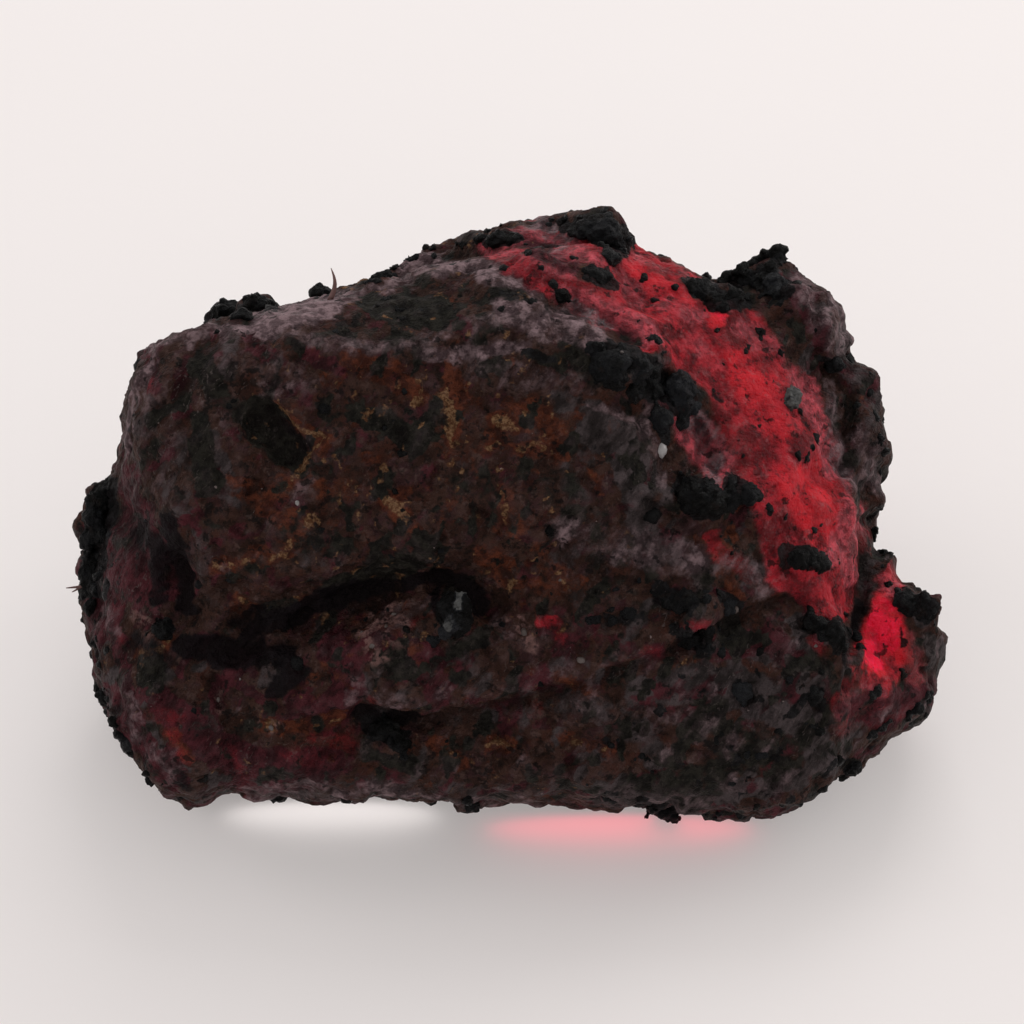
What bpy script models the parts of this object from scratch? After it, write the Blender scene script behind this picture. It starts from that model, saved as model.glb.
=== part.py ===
"""A raw ruby crystal: one loose natural stone, resting on a flat parting face.

The stone is laid out on a drawing plane that leans back 45 degrees, so that the
drawing shows its broad upper face. Three directions belong to that plane:
    u  to the right          (row +X)
    w  up the plane          (row +Y and +Z in equal parts)
    d  out of the plane      (row -Y and +Z in equal parts)
Lengths are in millimetres while the stone is shaped, and in metres at the end.
Row frame: +Z up, origin at the middle of the stone's bounding box in X and Y, on the
plane it rests on; the stone is longest along X.
"""

import math

import bmesh
import bpy
import numpy as np
from mathutils import Matrix, Vector, noise

# ---------------------------------------------------------------- dimensions
MM = 0.001                 # one millimetre in metres
UNIT = 0.0277              # millimetres to one unit of the drawing
LEAN = math.radians(45.0)  # how far the drawing plane leans back
HEART_AT = (0.037, 0.254, 6.35)  # the drawing's centre in the row frame
FRONT = 5.4                # depth of the main crystal in front of the drawing plane
BACK = 8.6                 # depth behind it
VOXEL = 0.26               # grid on which the intergrown forms are merged
TRIANGLES = 9400           # what the finished skin is thinned to

U = Vector((1.0, 0.0, 0.0))
W = Vector((0.0, math.sin(LEAN), math.cos(LEAN)))
D = Vector((0.0, -math.cos(LEAN), math.sin(LEAN)))
HEART = Vector(HEART_AT)

# Girdle of the main crystal on the drawing (units, x right and y down, clockwise
# from the upper left corner). The drawing's centre is 512, 512.
GIRDLE = [
    (142, 354), (205, 333), (275, 314), (330, 297), (385, 271), (440, 247),
    (480, 231), (520, 216), (565, 213), (620, 238), (668, 257), (706, 278),
    (748, 302), (796, 330), (834, 392), (858, 452), (872, 520), (872, 600),
    (866, 680), (848, 730), (814, 772), (772, 790), (700, 798), (620, 792),
    (540, 790), (460, 788), (380, 785), (310, 784), (250, 788), (206, 790),
    (166, 774), (134, 742), (110, 702), (90, 652), (82, 596), (90, 530),
    (108, 468), (118, 416), (128, 378),
]

# Crystal faces that trim the main body: (direction u, w, d) and distance in mm.
FACES = [
    ((-0.10, 0.16, 1.00), 5.20),   # broad upper face
    ((-0.16, 0.86, 0.56), 7.05),   # bevel along the upper edge
    ((-0.93, 0.16, 0.40), 10.45),  # left end
    ((0.62, 0.34, 0.72), 8.45),    # right flank
    ((0.52, -0.30, 0.82), 8.05),   # lower right flank
    ((-0.06, -0.58, 0.82), 7.55),  # lower front
    ((-0.70, -0.62, 0.34), 10.9),  # lower left corner
    ((0.06, 0.66, -0.75), 7.75),   # back, upper
    ((-0.72, 0.22, -0.66), 9.90),  # back, left end
    ((0.68, 0.16, -0.70), 10.10),  # back, right end
    ((0.24, -0.10, -0.96), 7.70),  # back
    ((-0.32, -0.16, -0.93), 7.70), # back, left of it
    ((0.20, -0.86, -0.48), 7.30),  # under the front edge
]

# Forms grown together with the main body:
# name, centre (x, y) units, centre depth d mm, half sizes (a, b, c) mm, turn deg, squareness
FORMS = [
    ("prism", (414, 448), 0.95, (7.95, 4.05, 5.05), 4.0, 4.4),
    ("prism_top", (450, 358), 0.30, (5.6, 2.50, 4.80), 12.0, 3.4),
    ("shelf", (424, 652), 1.95, (5.2, 2.15, 3.45), 9.0, 2.8),
    ("shelf_right", (600, 640), 1.35, (4.2, 2.60, 3.90), 14.0, 3.4),
    ("lip", (484, 752), 0.45, (8.9, 1.36, 3.90), -1.0, 3.2),
    ("left_foot", (214, 704), 0.80, (2.48, 2.36, 3.55), 24.0, 3.2),
    ("lower_right", (720, 684), 0.45, (3.80, 3.25, 4.20), -24.0, 4.0),
    ("right_flank", (806, 560), -1.00, (1.90, 3.10, 3.60), 4.0, 3.6),
    ("shoulder", (776, 352), -0.80, (1.75, 2.25, 2.90), -26.0, 2.9),
    ("shoulder_low", (842, 436), -1.20, (1.18, 2.10, 2.90), 4.0, 2.9),
    ("hump", (556, 260), -1.30, (2.45, 1.25, 2.90), -6.0, 2.8),
    ("heel", (500, 520), -4.10, (8.80, 4.30, 3.70), 3.0, 3.6),
    ("knob", (882, 652), -0.45, (1.60, 2.20, 2.60), -14.0, 3.0),
    ("knob_root", (838, 694), -0.70, (1.95, 2.10, 3.50), -38.0, 3.0),
]

# Valleys pressed into the upper side: points (x, y) units, half width mm, depth mm
VALLEYS = [
    ([(128, 500), (172, 560), (196, 618), (244, 644)], 0.58, 0.42),
    ([(222, 626), (290, 624), (340, 606), (404, 586), (462, 584), (488, 602)], 0.48, 0.66),
    ([(492, 604), (560, 612), (640, 592)], 0.38, 0.14),
    ([(330, 706), (400, 724), (478, 716), (560, 694)], 0.46, 0.30),
    ([(560, 694), (640, 676), (704, 640), (790, 606)], 0.42, 0.20),
    ([(262, 402), (292, 436), (300, 462)], 0.55, 0.30),
    ([(220, 336), (190, 420), (168, 500)], 0.38, 0.20),
    ([(350, 300), (430, 290), (500, 306)], 0.36, 0.24),
    ([(870, 505), (874, 552), (862, 606), (840, 640)], 0.40, 0.50),
    ([(800, 640), (812, 700), (800, 760)], 0.45, 0.20),
    ([(604, 318), (660, 372), (704, 440), (716, 500)], 0.38, 0.30),
    ([(470, 252), (540, 288), (600, 318)], 0.40, 0.30),
    ([(806, 300), (812, 372), (846, 392), (842, 470)], 0.36, 0.28),
    ([(212, 640), (236, 720), (228, 790)], 0.42, 0.22),
]

# Large black grains grown into the skin: centre (x, y) units, half size units, turn deg,
# and how far they stand out, as a share of their half size
GRAINS = [
    (600, 232, 27, 0, 0.9), (578, 226, 17, 0, 0.8), (616, 248, 19, 0, 0.8),
    (226, 316, 21, 10, 0.9), (256, 310, 21, -10, 0.9), (321, 296, 15, 0, 0.9),
    (500, 240, 18, 0, 0.7),
    (722, 304, 20, 20, 0.8), (748, 288, 21, 30, 0.9), (768, 272, 20, 35, 0.9),
    (782, 260, 14, 35, 0.9), (792, 302, 20, 0, 0.7),
    (100, 500, 20, 0, 0.9), (90, 530, 21, 0, 0.9), (92, 566, 20, 0, 0.9),
    (106, 696, 16, 0, 0.9),
    (610, 372, 27, 0, 0.6), (648, 366, 27, 0, 0.6), (676, 400, 29, 0, 0.6),
    (706, 496, 31, 0, 0.7), (742, 500, 21, 0, 0.6), (802, 560, 20, 0, 0.6),
    (458, 610, 26, 0, 0.7), (386, 738, 27, 0, 0.5), (690, 612, 26, 0, 0.6),
    (824, 632, 22, 0, 0.6), (924, 604, 23, 0, 0.7),
    (468, 800, 18, 0, 0.8), (664, 808, 20, 0, 0.8), (846, 768, 18, 0, 0.8),
    (872, 396, 21, 0, 0.6),
]


# ------------------------------------------------------------------- helpers
def clear_scene():
    for obj in list(bpy.data.objects):
        bpy.data.objects.remove(obj, do_unlink=True)


def collection(name, hidden=False):
    made = bpy.data.collections.new(name)
    made.hide_render = hidden
    bpy.context.scene.collection.children.link(made)
    return made


def on_sheet(x, y, d=0.0):
    """A point of the drawing, in millimetres in the row frame."""
    return HEART + U * ((x - 512) * UNIT) + W * ((512 - y) * UNIT) + D * d


def sphere(name, subdivisions, into):
    """A unit icosphere as an object of its own."""
    bm = bmesh.new()
    bmesh.ops.create_icosphere(bm, subdivisions=subdivisions, radius=1.0)
    mesh = bpy.data.meshes.new(name)
    bm.to_mesh(mesh)
    bm.free()
    obj = bpy.data.objects.new(name, mesh)
    into.objects.link(obj)
    return obj


def coordinates(obj):
    co = np.empty(len(obj.data.vertices) * 3, np.float32)
    obj.data.vertices.foreach_get("co", co)
    return co.reshape(-1, 3).astype(np.float64)


def set_coordinates(obj, co):
    obj.data.vertices.foreach_set("co", co.astype(np.float32).ravel())
    obj.data.update()


def periodic(angles, values, wanted, smooth=0.0):
    """Values at wanted angles from points round a circle, optionally averaged over +-smooth."""
    order = np.argsort(angles)
    a, v = np.asarray(angles)[order], np.asarray(values)[order]
    turn = 2 * math.pi
    a = np.concatenate([a - turn, a, a + turn])
    v = np.concatenate([v, v, v])
    if smooth <= 0:
        return np.interp(wanted, a, v)
    steps = np.linspace(-smooth, smooth, 9)
    weights = np.cos(steps / smooth * math.pi / 2) ** 2 + 0.05
    total = sum(w * np.interp(wanted + s, a, v) for s, w in zip(steps, weights))
    return total / weights.sum()


def soft_min(values, sharpness):
    """Smooth minimum along the first axis: crystal faces with slightly worn edges."""
    low = values.min(axis=0)
    return low - np.log(np.exp(-(values - low) * sharpness).sum(axis=0)) / sharpness


# --------------------------------------------------------------- the forms
def shape_main(obj):
    """Pulls a sphere out to the girdle, then trims it with the crystal faces."""
    way = coordinates(obj)
    way /= np.linalg.norm(way, axis=1, keepdims=True)
    across, up, out = way[:, 0], way[:, 1], way[:, 2]
    middle = np.array([500.0, 545.0])
    girdle = (np.array(GIRDLE, float) - middle) * UNIT
    angle = np.arctan2(-girdle[:, 1], girdle[:, 0])
    reach = np.hypot(girdle[:, 0], girdle[:, 1])
    turn = np.arctan2(up, across)
    flat = np.hypot(across, up)
    near = periodic(angle, reach, turn, 0.03)
    far = periodic(angle, reach, turn, 0.30)
    lift = np.clip(np.abs(np.arcsin(np.clip(out, -1, 1))) / math.radians(40), 0, 1)
    lift = lift * lift * (3 - 2 * lift)
    radius = near * (1 - lift) + far * lift
    depth = np.where(out > 0, FRONT, BACK)
    power = 2.7
    r = ((flat / radius) ** power + (np.abs(out) / depth) ** power) ** (-1 / power)
    cuts = [r]
    for direction, distance in FACES:
        n = np.array(direction) / np.linalg.norm(direction)
        facing = way @ n
        cuts.append(np.where(facing > 0.05, distance / np.maximum(facing, 0.05), 60.0))
    r = soft_min(np.minimum(np.array(cuts), 60.0), 2.6)
    local = way * r[:, None]
    base = on_sheet(*middle)
    frame = np.array([U, W, D])
    set_coordinates(obj, local @ frame + np.array(base))


def shape_form(obj, centre, depth, half, turn, power):
    """A squared ellipsoid, turned in the drawing plane."""
    way = coordinates(obj)
    way /= np.linalg.norm(way, axis=1, keepdims=True)
    a, b, c = half
    r = (np.abs(way[:, 0] / a) ** power + np.abs(way[:, 1] / b) ** power
         + np.abs(way[:, 2] / c) ** power) ** (-1 / power)
    local = way * r[:, None]
    t = math.radians(turn)
    rotated = np.stack([
        local[:, 0] * math.cos(t) - local[:, 1] * math.sin(t),
        local[:, 0] * math.sin(t) + local[:, 1] * math.cos(t),
        local[:, 2],
    ], axis=1)
    frame = np.array([U, W, D])
    set_coordinates(obj, rotated @ frame + np.array(on_sheet(*centre, depth)))


def join(objects, name):
    """Puts the objects' meshes in one object, still as overlapping shells."""
    bm = bmesh.new()
    for obj in objects:
        bm.from_mesh(obj.data)
    mesh = bpy.data.meshes.new(name)
    bm.to_mesh(mesh)
    bm.free()
    made = bpy.data.objects.new(name, mesh)
    objects[0].users_collection[0].objects.link(made)
    for obj in objects:
        bpy.data.objects.remove(obj, do_unlink=True)
    return made


def applied(obj):
    """Replaces the object's mesh by the one that its modifiers make."""
    graph = bpy.context.evaluated_depsgraph_get()
    mesh = bpy.data.meshes.new_from_object(obj.evaluated_get(graph))
    old = obj.data
    obj.modifiers.clear()
    obj.data = mesh
    bpy.data.meshes.remove(old)
    return obj


def merge(obj, voxel, smoothing):
    """Makes one skin of the overlapping shells."""
    remesh = obj.modifiers.new("merge", "REMESH")
    remesh.mode = "VOXEL"
    remesh.voxel_size = voxel
    if smoothing:
        smooth = obj.modifiers.new("soften", "SMOOTH")
        smooth.factor = 0.5
        smooth.iterations = smoothing
    return applied(obj)


def normals(obj):
    n = np.empty(len(obj.data.vertices) * 3, np.float32)
    obj.data.vertex_normals.foreach_get("vector", n)
    return n.reshape(-1, 3).astype(np.float64)


def near_path(points, path):
    """Distance of each (u, w) point from a path on the drawing."""
    best = np.full(len(points), 1e9)
    for (x0, y0), (x1, y1) in zip(path, path[1:]):
        a = np.array([(x0 - 512) * UNIT, (512 - y0) * UNIT])
        b = np.array([(x1 - 512) * UNIT, (512 - y1) * UNIT])
        along = np.clip(((points - a) @ (b - a)) / ((b - a) @ (b - a)), 0, 1)
        best = np.minimum(best, np.linalg.norm(points - (a + along[:, None] * (b - a)), axis=1))
    return best


def press_valleys(obj):
    co, n = coordinates(obj), normals(obj)
    frame = np.array([U, W, D])
    local = (co - np.array(HEART)) @ frame.T
    facing = np.clip((n @ np.array(D)) * 1.6, 0, 1)
    sink = np.zeros(len(co))
    for path, half, depth in VALLEYS:
        share = near_path(local[:, :2], path) / half
        sink = np.maximum(sink, depth * np.exp(-0.9 * share ** 2))
    co -= n * (sink * facing)[:, None]
    set_coordinates(obj, co)


def weather(obj):
    """Lumps and pits of a natural skin, from fractal noise."""
    co, n = coordinates(obj), normals(obj)
    out = np.empty(len(co))
    for i, p in enumerate(co):
        v = Vector(p) - HEART
        broad = noise.fractal(v * 0.34 + Vector((7.1, 3.3, 1.7)), 0.9, 2.1, 3)
        cell = noise.voronoi(v * 0.52 + Vector((2.3, 5.1, 0.4)))[0]
        chips = min((cell[1] - cell[0]) * 1.4, 0.55)
        fine = noise.fractal(v * 1.25 + Vector((4.0, 0.7, 9.1)), 1.0, 2.2, 2)
        out[i] = 0.24 * broad + 0.42 * (chips - 0.40) + 0.15 * fine
    set_coordinates(obj, co + n * out[:, None])


def place_grains(body, into):
    """Black grains, as dented balls set into the skin where the drawing shows them."""
    graph = bpy.context.evaluated_depsgraph_get()
    shown = body.evaluated_get(graph)
    made = []
    for k, (x, y, size, turn, proud) in enumerate(GRAINS):
        half = size * UNIT
        start = on_sheet(x, y, 30.0)
        hit, place, normal, _ = shown.ray_cast(start, -D)
        if not hit:
            # beyond the outline: the nearest point of the skin
            _, place, normal, _ = shown.closest_point_on_mesh(on_sheet(x, y, 0.0))
            place = place.lerp(on_sheet(x, y, 0.0), 0.75)
            centre = place
        else:
            centre = place + normal * half * (proud - 0.80)
        grain = sphere(f"grain_{k}", 3, into)
        co = coordinates(grain)
        seed = Vector((k * 3.17, k * 1.31, k * 0.73))
        for i, p in enumerate(co):
            v = Vector(p)
            co[i] = p * (0.95 + 0.14 * noise.noise(v * 1.3 + seed))
        spin = Matrix.Rotation(k * 1.9, 3, Vector((0.3, 0.5, 0.8)).normalized())
        stretch = np.array([1.12, 0.95, 0.92])
        co = (co * stretch) @ np.array(spin).T
        set_coordinates(grain, co * half + np.array(centre))
        made.append(grain)
    return made


def cut_base(obj, into):
    """The flat parting face that the stone rests on, at z = 0."""
    bm = bmesh.new()
    bmesh.ops.create_cube(bm, size=1.0)
    bmesh.ops.scale(bm, verts=bm.verts, vec=(60, 60, 20))
    bmesh.ops.translate(bm, verts=bm.verts, vec=(0, 0, -10))
    mesh = bpy.data.meshes.new("base_cutter")
    bm.to_mesh(mesh)
    bm.free()
    cutter = bpy.data.objects.new("base_cutter", mesh)
    cutter.hide_render = True
    cutter.display_type = "WIRE"
    into.objects.link(cutter)
    cut = obj.modifiers.new("parting_face", "BOOLEAN")
    cut.operation = "DIFFERENCE"
    cut.solver = "EXACT"
    cut.object = cutter
    applied(obj)
    bpy.data.objects.remove(cutter, do_unlink=True)


def ruby_material():
    made = bpy.data.materials.new("ruby")
    made.use_nodes = True
    shader = made.node_tree.nodes["Principled BSDF"]
    shader.inputs["Base Color"].default_value = (0.10, 0.018, 0.020, 1.0)
    shader.inputs["Roughness"].default_value = 0.55
    shader.inputs["Metallic"].default_value = 0.0
    shader.inputs["IOR"].default_value = 1.77
    made.diffuse_color = (0.10, 0.018, 0.020, 1.0)
    return made


def main():
    clear_scene()
    stone = collection("raw_ruby_crystal")
    helpers = collection("cutters", hidden=True)

    forms = [sphere("main", 6, stone)]
    shape_main(forms[0])
    for name, centre, depth, half, turn, power in FORMS:
        form = sphere(name, 5, stone)
        shape_form(form, centre, depth, half, turn, power)
        forms.append(form)
    crystal = merge(join(forms, "ruby_crystal"), VOXEL, 4)
    crystal.name = "ruby_crystal"
    press_valleys(crystal)
    weather(crystal)
    grains = place_grains(crystal, stone)
    crystal = merge(join([crystal] + grains, "ruby_crystal"), VOXEL * 0.8, 2)

    thin = crystal.modifiers.new("thin", "DECIMATE")
    thin.ratio = TRIANGLES / (2.0 * len(crystal.data.polygons))
    applied(crystal)
    cut_base(crystal, helpers)
    triangulate = crystal.modifiers.new("triangulate", "TRIANGULATE")
    triangulate.min_vertices = 4
    applied(crystal)

    co = coordinates(crystal)
    middle = (co.min(axis=0) + co.max(axis=0)) / 2
    print("footprint middle, mm:", [round(float(c), 4) for c in middle[:2]])
    co[:, :2] -= middle[:2]
    set_coordinates(crystal, co)
    crystal.data.transform(Matrix.Scale(MM, 4))
    crystal.name = "ruby_crystal"
    crystal.data.name = "ruby_crystal"
    crystal.data.shade_smooth()
    crystal.data.materials.clear()
    crystal.data.materials.append(ruby_material())


main()
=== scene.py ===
"""Looks of a raw ruby crystal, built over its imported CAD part.

The stone's skin is one closed mesh sculpted from the CAD solid. The black mineral
grains, the pale glassy grains and the bits of lint are meshes of their own that sit
on that skin. Lengths are in millimetres while things are shaped, in metres at the end.
"""

import math

import bmesh
import bpy
import numpy as np
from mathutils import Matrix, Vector
from mathutils.bvhtree import BVHTree
from mathutils.kdtree import KDTree


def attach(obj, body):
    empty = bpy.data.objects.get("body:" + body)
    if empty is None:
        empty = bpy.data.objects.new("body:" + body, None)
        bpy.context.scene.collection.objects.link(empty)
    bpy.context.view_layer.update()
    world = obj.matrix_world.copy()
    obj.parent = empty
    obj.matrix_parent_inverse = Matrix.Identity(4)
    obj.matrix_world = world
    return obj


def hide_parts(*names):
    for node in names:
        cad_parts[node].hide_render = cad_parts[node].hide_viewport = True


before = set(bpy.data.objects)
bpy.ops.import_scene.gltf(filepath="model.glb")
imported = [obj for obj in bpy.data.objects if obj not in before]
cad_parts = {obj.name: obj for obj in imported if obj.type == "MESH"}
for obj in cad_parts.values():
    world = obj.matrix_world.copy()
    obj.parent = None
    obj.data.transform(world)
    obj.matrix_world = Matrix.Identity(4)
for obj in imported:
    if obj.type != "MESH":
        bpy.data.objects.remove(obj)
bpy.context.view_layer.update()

# ------------------------------------------------------------------ the drawing
# The camera looks down 45 degrees. u is to the right, w up the picture and d towards
# the camera. Places are given in units of the picture, 1024 to a side.
MM = 0.001
UNIT = 0.0277                      # millimetres to a unit, at the heart's depth
REACH = 150.0                      # camera distance from the heart, mm
HEART = np.array([0.020, 0.125, 6.35])
LEAN = math.radians(45.0)
AXES = np.array([
    [1.0, 0.0, 0.0],
    [0.0, math.sin(LEAN), math.cos(LEAN)],
    [0.0, -math.cos(LEAN), math.sin(LEAN)],
])
EYE = HEART + AXES[2] * REACH
SILK = math.radians(56.0)          # the silk's direction, up to the right
SILK_ALONG = np.array([math.cos(SILK), math.sin(SILK), 0.0])
SILK_ACROSS = np.array([-math.sin(SILK), math.cos(SILK), 0.0])
VOXEL = 0.105                      # grid of the skin while it is sculpted, mm
SKIN_TRIANGLES = 194000


# ------------------------------------------------------------------ noise
def _hash(ix, iy, iz, seed):
    h = (ix.astype(np.uint32) * np.uint32(374761393)
         + iy.astype(np.uint32) * np.uint32(668265263)
         + iz.astype(np.uint32) * np.uint32(2147483647)
         + np.uint32(seed * 2654435761 & 0xFFFFFFFF))
    h = (h ^ (h >> np.uint32(13))) * np.uint32(1274126177)
    h = (h ^ (h >> np.uint32(16))) * np.uint32(2246822519)
    return h ^ (h >> np.uint32(15))


def _unit(h):
    return h.astype(np.float64) / 4294967295.0


def perlin(p, seed=0):
    """Gradient noise at each point, about -1 to 1."""
    base = np.floor(p)
    f = p - base
    base = base.astype(np.int64)
    s = f * f * f * (f * (f * 6 - 15) + 10)
    total = np.zeros(len(p))
    for dx in (0, 1):
        wx = s[:, 0] if dx else 1 - s[:, 0]
        for dy in (0, 1):
            wy = s[:, 1] if dy else 1 - s[:, 1]
            for dz in (0, 1):
                wz = s[:, 2] if dz else 1 - s[:, 2]
                h = _hash(base[:, 0] + dx, base[:, 1] + dy, base[:, 2] + dz, seed)
                a = _unit(h) * 2 * math.pi
                c = _unit(h * np.uint32(2654435761)) * 2 - 1
                r = np.sqrt(1 - c * c)
                dot = ((f[:, 0] - dx) * np.cos(a) * r + (f[:, 1] - dy) * np.sin(a) * r
                       + (f[:, 2] - dz) * c)
                total += wx * wy * wz * dot
    return total * 1.6


def fbm(p, octaves=4, gain=0.5, seed=0):
    total, size, amp = np.zeros(len(p)), 1.0, 1.0
    norm = 0.0
    for k in range(octaves):
        total += amp * perlin(p * size, seed + 17 * k)
        norm += amp
        amp *= gain
        size *= 2.03
    return total / norm


def ridged(p, octaves=4, gain=0.5, seed=0):
    total, size, amp, norm = np.zeros(len(p)), 1.0, 1.0, 0.0
    for k in range(octaves):
        v = 1 - np.abs(perlin(p * size, seed + 31 * k)) * 1.6
        total += amp * v * np.abs(v)
        norm += amp
        amp *= gain
        size *= 2.07
    return total / norm


def cells(p, seed=0):
    """Distances to the nearest and second nearest cell centres, and the nearest one's number."""
    base = np.floor(p).astype(np.int64)
    f1 = np.full(len(p), 9.0)
    f2 = np.full(len(p), 9.0)
    number = np.zeros(len(p))
    for dx in (-1, 0, 1):
        for dy in (-1, 0, 1):
            for dz in (-1, 0, 1):
                c = base + np.array([dx, dy, dz])
                h = _hash(c[:, 0], c[:, 1], c[:, 2], seed)
                q = np.stack([
                    _unit(h), _unit(h * np.uint32(2654435761)),
                    _unit(h * np.uint32(2246822519) + np.uint32(97)),
                ], axis=1)
                dist = np.linalg.norm(c + q - p, axis=1)
                closer = dist < f1
                f2 = np.where(closer, f1, np.minimum(f2, dist))
                number = np.where(closer, _unit(h * np.uint32(3266489917)), number)
                f1 = np.where(closer, dist, f1)
    return f1, f2, number


def smooth(a, b, x):
    t = np.clip((x - a) / (b - a), 0, 1)
    return t * t * (3 - 2 * t)


# ------------------------------------------------------------------ places
def to_local(p):
    return (p - HEART) @ AXES.T


def to_picture(local):
    near = REACH / (REACH - local[:, 2])
    return np.stack([512 + local[:, 0] / UNIT * near, 512 - local[:, 1] / UNIT * near], axis=1)


def ray_through(x, y):
    """Direction from the eye through a place of the picture."""
    p = HEART + AXES[0] * ((x - 512) * UNIT) + AXES[1] * ((512 - y) * UNIT)
    way = p - EYE
    return way / np.linalg.norm(way)


def stroke(xy, points, half, soft=0.6):
    """1 on a path of the picture, falling to 0 at half away. half is a number or one a point."""
    points = np.array(points, float)
    half = np.array(half, float) * np.ones(len(points))
    if len(points) == 1:
        points = np.vstack([points, points + 0.01])
        half = np.append(half, half)
    best = np.zeros(len(xy))
    for k in range(len(points) - 1):
        a, b = points[k], points[k + 1]
        along = np.clip(((xy - a) @ (b - a)) / ((b - a) @ (b - a)), 0, 1)
        gap = np.linalg.norm(xy - (a + along[:, None] * (b - a)), axis=1)
        wide = half[k] + (half[k + 1] - half[k]) * along
        best = np.maximum(best, 1 - smooth(1 - soft, 1, gap / wide))
    return best


def painted(xy, strokes):
    """The strongest of several strokes: (points, half width, strength)."""
    out = np.zeros(len(xy))
    for points, half, strength in strokes:
        out = np.maximum(out, stroke(xy, points, half) * strength)
    return out


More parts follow.
